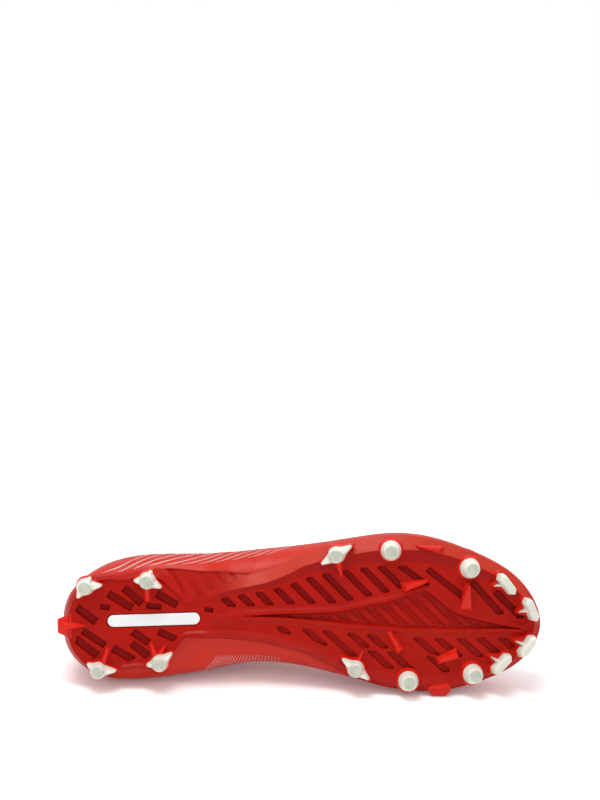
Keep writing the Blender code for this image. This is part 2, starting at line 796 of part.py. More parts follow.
def capsule(x, y, length, width, angle):
    """A straight bar with round ends, in plan."""
    out = []
    turn = math.radians(angle)
    for side in (1, -1):
        for k in range(BADGE_END_STEPS + 1):
            a = turn + (math.pi if side < 0 else 0) - math.pi / 2 + math.pi * k / BADGE_END_STEPS
            mid = np.array([x, y]) + side * np.array([math.cos(turn), math.sin(turn)]) * (length - width) / 2
            out.append(mid + np.array([math.cos(a), math.sin(a)]) * width / 2)
    return np.array(out)


def badge_outline(grow):
    share, across, angle = BADGE
    return capsule(
        share * LENGTH, across * BALL_WIDTH, BADGE_LENGTH + 2 * grow, BADGE_WIDTH + 2 * grow, angle
    )


def face_loops():
    """Every closed line of the plate's face in plan, with how deep it lies in the floor."""
    loops = [(FACE_RIM, -RIM_PROUD), (FACE_BAND, 0)]
    loops.append((pool_ring(RIDGE_WIDTH), 0))
    loops.append((pool_ring(RIDGE_CREST), -RIDGE_PROUD))
    loops.append((pool_ring(0), -RIDGE_PROUD))
    loops.append((pool_ring(-POOL_DRAFT), POOL_DEPTH))
    for corners in heel_slots() + fore_slots():
        loops.append((corners, 0))
        loops.append((inset(corners, SLOT_DRAFT), SLOT_DEPTH))
    loops.append((badge_outline(2 * GAP), 0))
    loops.append((badge_outline(GAP), BADGE_RECESS))
    return loops


def plate_face():
    """The relief of the plate's face: its points, its triangles, and where each point of its rim is."""
    plan, relief, edges = [], [], []
    for ring, depth in face_loops():
        first, count = len(plan), len(ring)
        plan.extend(Vector(p) for p in ring)
        relief.extend([depth] * count)
        edges.extend((first + k, first + (k + 1) % count) for k in range(count))
    made = delaunay_2d_cdt(plan, edges, [], 1, 1e-7)
    where, triangles, sources = made[0], made[2], made[3]
    depth = [relief[s[0]] if s else 0 for s in sources]
    rim = {}
    for k, s in enumerate(sources):
        for source in s:
            if source < RIBS:
                rim[source] = k
    points = with_height([(p.x, p.y) for p in where], np.array(depth))
    out = []
    for a, b, c in triangles:
        area = np.cross(points[b][:2] - points[a][:2], points[c][:2] - points[a][:2])
        out.append((a, c, b) if area > 0 else (a, b, c))
    return points, out, [rim[k] for k in range(RIBS)]


def build_plate(material, frame):
    """The plate: a face in relief, a slanted side, a thin lip up the upper, and a top in its opening."""
    face, triangles, rim = plate_face()
    points = list(face)
    faces = list(triangles)

    def add_ring(ring):
        points.extend(ring)
        return [len(points) - RIBS + k for k in range(RIBS)]

    def join(low, high):
        for k in range(RIBS):
            d = (k + 1) % RIBS
            faces.extend([(low[k], low[d], high[k]), (low[d], high[d], high[k])])

    def off_upper(level, gap):
        return RINGS[level] + NORMALS[level] * gap

    lip = add_ring(off_upper(EDGE_STEPS, GAP + PLATE_LIP))
    edge = add_ring(off_upper(EDGE_STEPS, GAP))
    middle = add_ring(off_upper(1, GAP))
    under = add_ring(RINGS[0] - np.array([0, 0, GAP]))
    wall = np.column_stack([SOLE_OPENING + INWARD * GAP, RINGS[0][:, 2]])
    low = add_ring(wall - np.array([0, 0, GAP]))
    high = add_ring(wall + np.array([0, 0, WALL - PLUG_DROP]))
    for before, after in zip([rim, lip, edge, middle, under, low], [lip, edge, middle, under, low, high]):
        join(before, after)
    faces.extend(cap_faces(high[0], RIBS))
    plate = new_object("outsole_plate", points, faces, material, frame)
    return plate


def hull_mesh(points):
    """The faces of the smallest convex solid round the points, with its own points."""
    shape = bmesh.new()
    for p in points:
        shape.verts.new(tuple(p))
    made = bmesh.ops.convex_hull(shape, input=shape.verts)
    spare = set(made["geom_interior"] + made["geom_unused"])
    loose = [v for v in spare if isinstance(v, bmesh.types.BMVert)]
    bmesh.ops.delete(shape, geom=loose, context="VERTS")
    bmesh.ops.recalc_face_normals(shape, faces=shape.faces)
    shape.verts.index_update()
    verts = [v.co.copy() for v in shape.verts]
    faces = [[v.index for v in f.verts] for f in shape.faces]
    shape.free()
    return verts, faces


def helper_of(name, solids, frame):
    """A helper object of several separate closed solids, to be united with a piece."""
    points, faces = [], []
    for verts, sides in solids:
        faces.extend([[len(points) + k for k in side] for side in sides])
        points.extend(verts)
    helper = new_object(name, points, faces, finish_of(name, RED_PLATE), frame)
    helper.hide_render = True
    helper.display_type = "WIRE"
    return helper


def circle(radius, steps):
    turn = 2 * math.pi * (np.arange(steps) + 0.5) / steps
    return np.column_stack([np.cos(turn), np.sin(turn)]) * radius


def stud_frame(share, across):
    """Where a stud grows from the plate's floor, and its axes: forward, medial, down and away."""
    x = share * LENGTH
    slope = math.atan2(floor_height(x + MM) - floor_height(x - MM), 2 * MM)
    foot = np.array([x, across * BALL_WIDTH, floor_height(x)])
    ahead = np.array([math.cos(slope), 0, math.sin(slope)])
    down = np.array([math.sin(slope), 0, -math.cos(slope)])
    return foot, ahead, np.array([0, 1, 0]), down


def placed(frame_axes, plan, depth):
    foot, ahead, medial, down = frame_axes
    return foot + plan[:, :1] * ahead + plan[:, 1:] * medial + depth * down


def stud_outline(kind, heading, share_of_height):
    """A stud's outline in plan at a share of its tip's height, without its fins."""
    if kind == "blade":
        way = math.radians(heading)
        shrink = 1 - 0.22 * share_of_height
        corners = turned_box(0, 0, BLADE_LENGTH * shrink, BLADE_WIDTH * shrink, heading)
        chamfer = BLADE_WIDTH * 0.28
        short, broad = BLADE_LENGTH - 2 * chamfer, BLADE_WIDTH + BLADE_SWELL
        ends = turned_box(0, 0, short * shrink, broad * shrink, heading)
        tips = np.array([[math.cos(way), math.sin(way)], [-math.cos(way), -math.sin(way)]])
        return np.concatenate([corners * 0.93, ends, tips * BLADE_LENGTH / 2 * shrink])
    base, tip, steps = {
        "round": (ROUND_BASE_RADIUS, ROUND_TIP_RADIUS, ROUND_STEPS),
        "core": (CORE_BASE_RADIUS, CORE_TIP_RADIUS, CORE_STEPS),
    }[kind]
    return circle(base + (tip - base) * share_of_height, steps)


def fin_cloud(axes, turn, reach, low, high, grow):
    """One fin of a stud: a wedge from its middle that falls towards a narrow end."""
    way = np.array([math.cos(math.radians(turn)), math.sin(math.radians(turn))])
    aside = np.array([-way[1], way[0]])
    out = way * reach * CORE_BASE_RADIUS * grow
    back = -way * FIN_BACK * reach
    near, far = FIN_ROOT_WIDTH / 2 * grow, FIN_END_WIDTH / 2 * grow
    crest = low + (high - low) * FIN_CREST
    fall = low + (high - low) * FIN_FALL
    return np.concatenate(
        [
            placed(axes, np.array([back + aside * near, back - aside * near]), low),
            placed(axes, np.array([out + aside * far, out - aside * far]), low),
            placed(axes, np.array([out * 0.97 + aside * far * 0.8, out * 0.97 - aside * far * 0.8]), fall),
            placed(axes, np.array([back + aside * near * 0.7, back - aside * near * 0.7]), crest),
            placed(axes, (way * CORE_TIP_RADIUS)[None, :], crest),
        ]
    )


ROOT_LENGTH = STUD_HEIGHT - TIP_HEIGHT


def build_stud(row, material, frame):
    """The white tip of one stud: a tapered core or blade with its fins, flat where it meets the ground."""
    name, kind, share, across, heading, fins = row
    axes = stud_frame(share, across)
    foot = ROOT_LENGTH + GAP
    core = [
        placed(axes, stud_outline(kind, heading, 0), foot),
        placed(axes, stud_outline(kind, heading, 0.8), foot + 0.86 * (TIP_HEIGHT - GAP)),
        placed(axes, stud_outline(kind, heading, 1) * 0.9, STUD_HEIGHT),
    ]
    stud = new_object("stud_" + name, *hull_mesh(np.concatenate(core)), material, frame)
    if fins:
        wedges = [
            hull_mesh(fin_cloud(axes, turn, reach, foot + FIN_STEP * (k + 1), STUD_HEIGHT, 1))
            for k, (turn, reach) in enumerate(fins)
        ]
        unite(stud, helper_of(name + "_fins", wedges, frame))
    return stud


def stud_root(row):
    """The red foot under a stud's tip, flaring into the plate: its core and its fins."""
    kind, share, across, heading, fins = row[1:]
    axes = stud_frame(share, across)
    top = stud_outline(kind, heading, 0)
    spread = 1 + BASE_FLARE / np.linalg.norm(top, axis=1).max()
    core = [
        placed(axes, top * 1.02, ROOT_LENGTH),
        placed(axes, top * spread, 0.2 * MM),
        placed(axes, top * spread * 0.72, -ROOT_DEPTH),
    ]
    solids = [hull_mesh(np.concatenate(core))]
    for k, (turn, reach) in enumerate(fins):
        step = FIN_STEP * (k + 1)
        wedge = np.concatenate(
            [
                fin_cloud(axes, turn, reach, ROOT_LENGTH - step, ROOT_LENGTH - step, 1.02),
                fin_cloud(axes, turn, reach, -step, -step, 1.16),
                fin_cloud(axes, turn, reach, step - ROOT_DEPTH, step - ROOT_DEPTH, 0.9),
            ]
        )
        solids.append(hull_mesh(wedge))
    return solids


def lug_cloud(row):
    """The points of one moulded lug: a box in the floor and a shorter crest over it."""
    share, across, heading, length, width, height, crest = row[1:]
    axes = stud_frame(share, across)
    long, wide = length * STUD_HEIGHT, width * STUD_HEIGHT
    return np.concatenate(
        [
            placed(axes, turned_box(0, 0, long * 0.98, wide * 0.98, heading), -ROOT_DEPTH),
            placed(axes, turned_box(0, 0, long, wide, heading), 0.1 * MM),
            placed(axes, turned_box(0, 0, long * crest, wide * 0.3, heading), height * STUD_HEIGHT),
        ]
    )


def heel_nub_cloud():
    """The wedge at the very back of the heel."""
    y = HEEL_TIP[1] * BALL_WIDTH
    root = HEEL_TIP[0] * LENGTH + HEEL_NUB_ROOT
    low = floor_height(0) - RIM_PROUD
    half = HEEL_NUB_WIDTH / 2
    back = []
    middle, high = low + 0.4 * HEEL_NUB_HEIGHT, low + HEEL_NUB_HEIGHT
    for z, out, share in ((low, 0.35, 0.8), (middle, 0.0, 0.7), (high, 0.8, 0.5)):
        for side in (-1, 1):
            back.append((out * HEEL_TIP[0] * LENGTH, y + side * half * share, z))
            back.append((root, y + side * half, min(z, low + 0.45 * HEEL_NUB_HEIGHT)))
    return np.array(back)


def side_nub_cloud():
    """The nub on the medial edge of the ball, on which the plate rests when the shoe lies down."""
    share, reach, length, width, crest = SIDE_NUB
    x, out = share * LENGTH, reach * BALL_WIDTH
    low, high = floor_height(x) - 0.4 * RIM_PROUD, floor_height(x) + 0.8 * PLATE_FLOOR
    half = length / 2
    inner, middle = out - width, out - width * 0.45
    points = [(x + s * half, y, z) for s in (-1, 1) for y in (inner, middle) for z in (low, high)]
    points += [(x + s * half * crest, out, z) for s in (-1, 1) for z in (low + 0.4 * MM, high - 1.2 * MM)]
    return np.array(points)


def unite(target, helper):
    join = target.modifiers.new(helper.name, "BOOLEAN")
    join.operation = "UNION"
    join.solver = "EXACT"
    join.use_self = True
    join.object = helper


def build_badge(material, frame):
    """The plain white bar let into the heel of the plate."""
    ring = badge_outline(0)
    count = len(ring)
    seat = floor_height(ring[:, 0]) + BADGE_RECESS - GAP
    top = np.column_stack([ring, seat])
    low = np.column_stack([inset(ring, 0.25 * MM), seat - BADGE_THICK])
    faces = [(k, (k + 1) % count, count + (k + 1) % count, count + k)[::-1] for k in range(count)]
    faces += [tuple(range(count)), tuple(range(2 * count - 1, count - 1, -1))]
    return new_object("heel_badge", np.concatenate([top, low]), faces, material, frame)


def build_insole(material, frame):
    """A thin foam bed on the flange and on the plate, following the inside of the upper."""
    inner = RINGS - NORMALS * (wall_thickness() + INSOLE_GAP)[:, :, None]
    inward = np.column_stack([INWARD, np.zeros(RIBS)])
    rings = [inner[level] + inward * INSOLE_GAP for level in (0, EDGE_STEPS)]
    rings[0] = rings[0] + inward * 2 * MM
    rings[0][:, 2] = sole_top(rings[0][:, 0]) + WALL + INSOLE_GAP
    lift = np.array([0, 0, INSOLE_THICK])
    rings += [rings[1] + inward * 1.2 * MM + lift * 0.8, rings[0] + lift]
    points = np.concatenate(rings)
    faces = ring_faces(len(rings), RIBS)
    faces += cap_faces(0, RIBS, turned=True)
    faces += cap_faces((len(rings) - 1) * RIBS, RIBS)
    return new_object("insole", points, faces, material, frame)


THROAT_RIBS = [k for k in range(1, RIBS_PER_SIDE) if 0.37 < SHARE[k] < 0.70]


def throat_section(k, depth, crown, shares=(0.70, 0.85, 1.0)):
    """Points across the throat at rib k, from the lateral to the medial side, below the upper's outside."""
    levels = [WIDEST_LEVEL + round(s * UPPER_STEPS) for s in shares]
    left = [RINGS[v, k] - NORMALS[v, k] * depth for v in levels]
    right = [RINGS[v, RIBS - k] - NORMALS[v, RIBS - k] * depth for v in levels]
    centre = (left[-1] + right[-1]) / 2 + np.array([0.3, 0, 1]) * crown
    quarters = [(left[-1] + centre) / 2 + np.array([0, 0, 0.22]) * crown]
    quarters += [centre, (centre + right[-1]) / 2 + np.array([0, 0, 0.22]) * crown]
    return np.array(left + quarters + right[::-1])


def build_tongue(material, frame):
    """A padded tongue under the throat that stands above the top eyelets."""
    depth = WALL + 0.6 * MM
    outside = [throat_section(k, depth, TONGUE_CROWN) for k in THROAT_RIBS][::-1]
    inside = [throat_section(k, depth + TONGUE_THICK, TONGUE_CROWN) for k in THROAT_RIBS][::-1]
    way = outside[-1].mean(0) - outside[-2].mean(0)
    way = way / np.linalg.norm(way)
    lean = way * 0.82 + np.array([-0.25, 0, 0.5])
    lean = lean / np.linalg.norm(lean)
    for rise, narrow in ((0.4, 0.62), (0.85, 0.56), (1.0, 0.42)):
        step = lean * TONGUE_RISE * rise
        for stack in (outside, inside):
            base = stack[len(THROAT_RIBS) - 1]
            centre = base.mean(0)
            stack.append((base - centre) * np.array([1, narrow, narrow]) + centre + step)
    across = len(outside[0])
    points = np.concatenate([np.array(outside).reshape(-1, 3), np.array(inside).reshape(-1, 3)])
    rows = len(outside)
    back = rows * across
    faces = []
    for r in range(rows - 1):
        for c in range(across - 1):
            a, b = r * across + c, (r + 1) * across + c
            faces.append((a, b, b + 1, a + 1))
            faces.append((back + a, back + a + 1, back + b + 1, back + b))
    for c in range(across - 1):
        faces.append((c, c + 1, back + c + 1, back + c))
        top = (rows - 1) * across + c
        faces.append((top, back + top, back + top + 1, top + 1))
    for r in range(rows - 1):
        a, b = r * across, (r + 1) * across
        faces.append((a, back + a, back + b, b))
        c, d = a + across - 1, b + across - 1
        faces.append((c, d, back + d, back + c))
    return new_object("tongue", points, flipped(faces), material, frame)


EYELET_LEVEL = WIDEST_LEVEL + UPPER_STEPS - 1
LACE_RIBS = THROAT_RIBS[:-3]


def unit(vector):
    return vector / np.linalg.norm(vector)


THROAT_UP = unit(np.array([0.35, 0, 1.0]))


def lace_path(left, right):
    """One crossing from a lateral eyelet to a medial one: its centre line and its upward normals."""
    lift = LACE_LIFT + LACE_THICK / 2
    top = len(RINGS) - 1
    stops = ((EYELET_LEVEL, left), (top, left), (top, RIBS - right), (EYELET_LEVEL, RIBS - right))
    ups = [unit(NORMALS[v, k] + (THROAT_UP if v == top else 0)) for v, k in stops]
    hump = THROAT_UP * LACE_HUMP
    line = [RINGS[v, k] + NORMALS[v, k] * lift + (hump if v == top else 0) for v, k in stops]
    return line, ups


def ribbon(line, ups):
    """A flat ribbon along a short line, as one closed solid."""
    points = []
    last = len(line) - 1
    for k, point in enumerate(line):
        way = unit(line[min(k + 1, last)] - line[max(k - 1, 0)])
        aside = unit(np.cross(ups[k], way)) * LACE_WIDTH / 2
        over = unit(np.cross(way, aside)) * LACE_THICK / 2
        points += [point + aside * u + over * v for u, v in ((-1, -1), (1, -1), (1, 1), (-1, 1))]
    faces = ring_faces(len(line), 4) + [(3, 2, 1, 0), tuple(range(4 * last, 4 * last + 4))]
    return points, faces


def build_laces(material, frame):
    """The crossings of the lace as one joined solid."""
    pairs = [(LACE_RIBS[-1], LACE_RIBS[-1])]
    for near, far in zip(LACE_RIBS[:-1], LACE_RIBS[1:]):
        pairs += [(near, far), (far, near)]
    ribbons = [ribbon(*lace_path(left, right)) for left, right in pairs]
    laces = new_object("laces", *ribbons[0], material, frame)
    unite(laces, helper_of("lace_crossings", ribbons[1:], frame))
    return laces


def mass_moment(obj):
    """Volume of a closed mesh and its volume times its centre."""
    mesh = obj.data
    mesh.calc_loop_triangles()
    corners = np.array([[mesh.vertices[i].co[:] for i in t.vertices] for t in mesh.loop_triangles])
    signed = np.einsum("ij,ij->i", corners[:, 0], np.cross(corners[:, 1], corners[:, 2])) / 6
    return signed.sum(), (signed[:, None] * corners.sum(1) / 4).sum(0)


def resting_turn(pieces):
    """The rotation and shift that lay the shoe on its medial side, on the three points that carry it."""
    mass, moment = 0, np.zeros(3)
    for piece in pieces:
        volume, first = mass_moment(piece)
        weight = DENSITY.get(piece.name, TIP_DENSITY)
        mass += volume * weight
        moment += first * weight
    centre = moment / mass
    corners = [np.array([v.co[:] for v in p.data.vertices]) for p in pieces] + [side_nub_cloud()]
    verts, faces = hull_mesh(np.concatenate(corners))
    verts = np.array(verts)
    best = None
    for face in faces:
        a, b, c = verts[face[:3]]
        normal = np.cross(b - a, c - a)
        size = np.linalg.norm(normal)
        if size < 1e-12:
            continue
        normal = normal / size
        foot = centre + normal * ((a - centre) @ normal)
        edges = ((a, b), (b, c), (c, a))
        margin = min(np.cross(q - p, foot - p) @ normal / np.linalg.norm(q - p) for p, q in edges)
        if normal[1] > 0.6 and margin >= 0 and (best is None or margin > best[1]):
            best = (normal, margin)
    down = Vector(best[0])
    ahead = Vector((1, 0, 0)) - down * down.x
    ahead.normalize()
    turn = Matrix((ahead, ahead.cross(down), -down))
    lying = np.concatenate([*corners, heel_nub_cloud()]) @ np.array(turn).T
    low, high = lying.min(0), lying.max(0)
    shift = Vector((-(low[0] + high[0]) / 2, -(low[1] + high[1]) / 2, -low[2]))
    return Matrix.Translation(shift) @ turn.to_4x4()


def main():
    for obj in list(bpy.data.objects):
        bpy.data.objects.remove(obj)
    frame = bpy.data.objects.new("shoe_frame", None)
    bpy.context.scene.collection.objects.link(frame)
    skin = finish_of("red_skin", RED_SKIN)
    plate_red = finish_of("red_plate", RED_PLATE)
    white = finish_of("white_tip", WHITE_TIP)
    pieces = [build_upper(skin, frame)]
    plate = build_plate(plate_red, frame)
    pieces.append(plate)
    pieces += [build_stud(row, white, frame) for row in STUDS]
    pieces.append(build_badge(finish_of("white_badge", WHITE_BADGE), frame))
    pieces.append(build_insole(finish_of("red_lining", RED_LINING), frame))
    pieces.append(build_tongue(finish_of("red_tongue", RED_LINING), frame))
    pieces.append(build_laces(finish_of("white_lace", WHITE_LACE), frame))
    unite(plate, helper_of("stud_roots", [solid for row in STUDS for solid in stud_root(row)], frame))
    moulded = [hull_mesh(lug_cloud(row)) for row in LUGS]
    moulded += [hull_mesh(heel_nub_cloud()), hull_mesh(side_nub_cloud())]
    unite(plate, helper_of("lugs", moulded, frame))
    frame.matrix_world = resting_turn(pieces)


main()
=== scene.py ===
"""Looks of a low-cut american football cleat for the right foot, lying on its medial side.

The shoe is worked out in its own frame, as if it stood on its studs: x from heel to toe, y positive on the
medial side, z up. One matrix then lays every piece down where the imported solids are. Metres, +Z up.
"""

import math

import bmesh
import bpy
import numpy as np
from mathutils import Matrix, Vector
from mathutils.geometry import delaunay_2d_cdt


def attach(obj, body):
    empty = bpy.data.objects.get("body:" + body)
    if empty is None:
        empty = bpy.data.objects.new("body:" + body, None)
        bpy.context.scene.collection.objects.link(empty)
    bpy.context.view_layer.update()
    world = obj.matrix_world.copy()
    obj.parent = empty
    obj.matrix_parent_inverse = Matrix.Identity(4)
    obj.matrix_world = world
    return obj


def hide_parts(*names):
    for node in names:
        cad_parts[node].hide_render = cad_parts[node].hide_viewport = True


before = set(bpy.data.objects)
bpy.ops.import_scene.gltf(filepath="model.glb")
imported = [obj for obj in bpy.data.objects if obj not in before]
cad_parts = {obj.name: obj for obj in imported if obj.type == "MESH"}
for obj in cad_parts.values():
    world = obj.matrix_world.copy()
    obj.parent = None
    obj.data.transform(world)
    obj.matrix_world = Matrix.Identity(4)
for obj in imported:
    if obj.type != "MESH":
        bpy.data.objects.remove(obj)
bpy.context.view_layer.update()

MM = 0.001

# How the shoe lies: its sole leans back a little from upright, and its toe is turned a little
SOLE_LEAN = math.radians(10.0508)
TOE_TURN = math.radians(0.9404)
LYING_SHIFT = Vector((-147.589, -47.255, 44.724)) * MM

# Sizes, as in the solids, but for the widths of the fins, the draft of the slots and their width in the heel
LENGTH = 295 * MM
BALL_WIDTH = 97 * MM
HEEL_HEIGHT = 64 * MM
SIDE_HEIGHT = 20 * MM
STUD_HEIGHT = 12 * MM
ARCH_RISE = 6 * MM
TOE_SPRING = 11 * MM
GAP = 0.35 * MM
WALL = 2.0 * MM
COLLAR_PAD = 2.6 * MM
PLATE_FLOOR = 4.2 * MM
PLATE_LIP = 1.1 * MM
FLANGE = 8 * MM
PLUG_DROP = 0.5 * MM
RIM_PROUD = 1.2 * MM
RIDGE_PROUD = 1.2 * MM
RIDGE_WIDTH = 3.6 * MM
RIDGE_CREST = 1.4 * MM
POOL_DEPTH = 1.7 * MM
POOL_DRAFT = 1.1 * MM
SLOT_DEPTH = 2.2 * MM
SLOT_DRAFT = 0.4 * MM
SLOT_WIDTH = 4.1 * MM
HEEL_SLOT_WIDTH = 4.9 * MM
RIDGE_MARGIN = 5.2 * MM
SLOT_MARGIN = 1.4 * MM
BADGE_MARGIN = 1.3 * MM
SHORTEST_SLOT = 3 * MM
LONGEST_SLOT = 30 * MM
TIP_HEIGHT = 8.6 * MM
ROUND_BASE_RADIUS = 6.2 * MM
ROUND_TIP_RADIUS = 4.4 * MM
CORE_BASE_RADIUS = 5.2 * MM
CORE_TIP_RADIUS = 4.2 * MM
BLADE_LENGTH = 16.5 * MM
BLADE_WIDTH = 5.4 * MM
FIN_ROOT_WIDTH = 9.2 * MM
FIN_END_WIDTH = 1.5 * MM
ROOT_DEPTH = 2.4 * MM
BADGE_LENGTH = 56 * MM
BADGE_WIDTH = 7.2 * MM
BADGE_THICK = 1.1 * MM
BADGE_RECESS = 1.3 * MM
INSOLE_THICK = 3.5 * MM
INSOLE_GAP = 0.6 * MM
TONGUE_THICK = 3.0 * MM
TONGUE_RISE = 24 * MM
TONGUE_CROWN = 2.2 * MM
LACE_WIDTH = 5.5 * MM
LACE_THICK = 1.5 * MM

# How finely the forms are cut
RIBS_PER_SIDE = 360
CORNER_STEPS = 9
UPPER_STEPS = 36
STUD_STEPS = 156

# columns: along; lateral and medial reach of the widest line
WIDEST = (
    (0.020, -0.119, 0.201), (0.047, -0.216, 0.304), (0.095, -0.309, 0.388), (0.190, -0.371, 0.402),
    (0.305, -0.374, 0.361), (0.407, -0.399, 0.322), (0.508, -0.438, 0.338), (0.610, -0.495, 0.392),
    (0.712, -0.529, 0.450), (0.797, -0.485, 0.453), (0.875, -0.390, 0.398), (0.936, -0.284, 0.320),
    (0.976, -0.160, 0.222),
)
HEEL_TIP = (0.010, 0.046)
TOE_TIP = (1.000, 0.041)
# columns: along; lateral and medial inset of the plate's edge from the widest line
EDGE_INSET = (
    (0.000, 0.012, 0.012), (0.060, 0.015, 0.015), (0.095, 0.045, 0.026), (0.135, 0.090, 0.085),
    (0.170, 0.080, 0.095), (0.200, 0.068, 0.075), (0.225, 0.068, 0.110), (0.250, 0.070, 0.190),
    (0.275, 0.078, 0.255), (0.315, 0.088, 0.235), (0.407, 0.122, 0.170), (0.458, 0.092, 0.138),
    (0.508, 0.042, 0.112), (0.560, 0.022, 0.065), (0.610, 0.015, 0.030), (0.680, 0.012, 0.013),
    (1.000, 0.011, 0.011),
)
# columns: along; lateral and medial inset of the face's rim from the plate's edge
RIM_INSET = (
    (0.000, 0.030, 0.030), (0.080, 0.022, 0.022), (0.150, 0.014, 0.022), (0.205, 0.045, 0.024),
    (0.240, 0.125, 0.024), (0.270, 0.190, 0.026), (0.305, 0.150, 0.036), (0.356, 0.098, 0.042),
    (0.407, 0.067, 0.042), (0.508, 0.062, 0.042), (0.610, 0.067, 0.040), (0.712, 0.076, 0.040),
    (0.797, 0.062, 0.036), (0.936, 0.050, 0.034), (1.000, 0.034, 0.034),
)
# columns: along; lateral and medial width of the band inside the rim
RIM_BAND = (
    (0.000, 0.020, 0.020), (0.150, 0.011, 0.014), (0.300, 0.018, 0.018), (0.407, 0.034, 0.024),
    (0.508, 0.062, 0.040), (0.712, 0.086, 0.060), (0.850, 0.070, 0.056), (1.000, 0.040, 0.040),
)
# columns: along; share of ARCH_RISE; share of TOE_SPRING
PROFILE = (
    (0.000, 0.10, 0.00), (0.060, 0.00, 0.00), (0.300, 0.00, 0.00), (0.360, 0.70, 0.00),
    (0.430, 1.00, 0.00), (0.520, 0.65, 0.00), (0.620, 0.14, 0.00), (0.700, 0.00, 0.00),
    (0.780, 0.00, 0.06), (0.860, 0.00, 0.28), (0.930, 0.00, 0.60), (1.000, 0.00, 1.00),
)
# columns: along; lateral and medial height of the widest line; squareness of the corner
SIDES = (
    (0.000, 0.95, 0.95, 3.2), (0.120, 1.00, 1.00, 3.2), (0.250, 1.10, 1.10, 2.7), (0.350, 1.20, 1.25, 2.2),
    (0.480, 1.05, 1.10, 2.3), (0.600, 0.75, 0.72, 3.2), (0.720, 0.58, 0.50, 4.2), (0.850, 0.48, 0.44, 4.5),
    (1.000, 0.42, 0.42, 3.8),
)
# columns: along of the rib; along of its top; lateral and medial reach; height; slope; fullness; lean
TOPLINE = (
    (0.010, 0.030, 0.046, 0.046, 1.000, 90, 0.42, 2),
    (0.047, 0.046, -0.112, 0.196, 0.980, 91, 0.42, 3),
    (0.095, 0.092, -0.235, 0.305, 0.900, 92, 0.42, 5),
    (0.190, 0.190, -0.322, 0.356, 0.790, 92, 0.42, 8),
    (0.271, 0.271, -0.318, 0.308, 0.870, 80, 0.44, 9),
    (0.339, 0.335, -0.258, 0.222, 1.060, 60, 0.46, 10),
    (0.380, 0.369, -0.168, 0.138, 1.165, 44, 0.48, 10),
    (0.441, 0.427, -0.144, 0.122, 1.080, 40, 0.50, 10),
    (0.508, 0.495, -0.129, 0.126, 0.955, 38, 0.52, 11),
    (0.576, 0.563, -0.111, 0.130, 0.840, 34, 0.55, 12),
    (0.644, 0.624, -0.090, 0.126, 0.747, 30, 0.58, 13),
    (0.712, 0.668, -0.068, 0.113, 0.684, 26, 0.61, 14),
    (0.797, 0.691, -0.043, 0.093, 0.653, 22, 0.64, 14),
    (0.875, 0.702, -0.021, 0.072, 0.638, 18, 0.68, 12),
    (0.936, 0.707, 0.000, 0.054, 0.630, 15, 0.71, 10),
    (0.976, 0.709, 0.013, 0.040, 0.625, 14, 0.73, 8),
    (1.000, 0.711, 0.027, 0.027, 0.622, 14, 0.73, 8),
)
COLLAR_ENDS = 0.36
# columns: along; lateral and medial side of the pool
POOL = (
    (0.390, -0.016, -0.007), (0.458, -0.028, 0.000), (0.520, -0.037, 0.012), (0.571, -0.046, 0.024),
    (0.606, -0.066, 0.032), (0.639, -0.091, 0.038), (0.674, -0.112, 0.046), (0.708, -0.143, 0.052),
    (0.734, -0.169, 0.054), (0.754, -0.185, 0.056), (0.771, -0.157, 0.058), (0.789, -0.112, 0.060),
    (0.806, -0.072, 0.061), (0.828, -0.037, 0.062), (0.859, -0.006, 0.062), (0.900, 0.025, 0.064),
    (0.932, 0.046, 0.067), (0.958, 0.060, 0.070),
)
# columns: along; heading in degrees
LATERAL_SLOTS = (
    (0.351, 45), (0.388, 45), (0.426, 45), (0.465, 45), (0.502, 45), (0.540, 45), (0.577, 45),
    (0.617, 45), (0.654, 45), (0.690, 43), (0.731, 38), (0.800, 38), (0.885, 48), (0.938, 45),
)
# columns: along; heading in degrees; row
MEDIAL_SLOTS = (
    (0.412, 42, "whole"), (0.466, 42, "whole"), (0.525, 42, "whole"), (0.578, 42, "whole"),
    (0.620, 42, "inner"), (0.660, 42, "inner"), (0.756, 42, "inner"), (0.806, 42, "inner"),
    (0.851, 42, "inner"), (0.893, 42, "inner"), (0.932, 42, "inner"),
    (0.664, 42, "outer"), (0.708, 42, "outer"), (0.790, 42, "outer"),
)
# columns: along; across of the solid line between the medial rows
ROW_LINE = ((0.560, 0.180), (0.740, 0.200), (0.800, 0.245), (1.000, 0.250))
# columns: along; across; length; width as a share of HEEL_SLOT_WIDTH; heading in degrees
HEEL_SLOTS = (
    (0.061, -0.025, 0.050, 1.05, 37), (0.099, -0.072, 0.020, 0.70, 10), (0.130, -0.112, 0.058, 1.05, 31),
    (0.156, -0.145, 0.049, 1.05, 42), (0.226, -0.123, 0.049, 1.05, 30), (0.199, -0.078, 0.031, 0.70, 5),
    (0.076, 0.122, 0.056, 0.90, 33), (0.060, 0.178, 0.058, 1.05, 38), (0.138, 0.226, 0.053, 1.05, 31),
    (0.172, 0.115, 0.042, 1.05, 35), (0.171, 0.194, 0.043, 1.05, 38), (0.229, 0.108, 0.045, 0.95, 24),
    (0.312, -0.057, 0.018, 0.60, 12), (0.356, 0.049, 0.020, 0.45, 12), (0.411, 0.071, 0.036, 0.70, 32),
)
BADGE = (0.199, 0.006, -2)
BADGE_END_STEPS = 14
BADGE_STEPS = 139
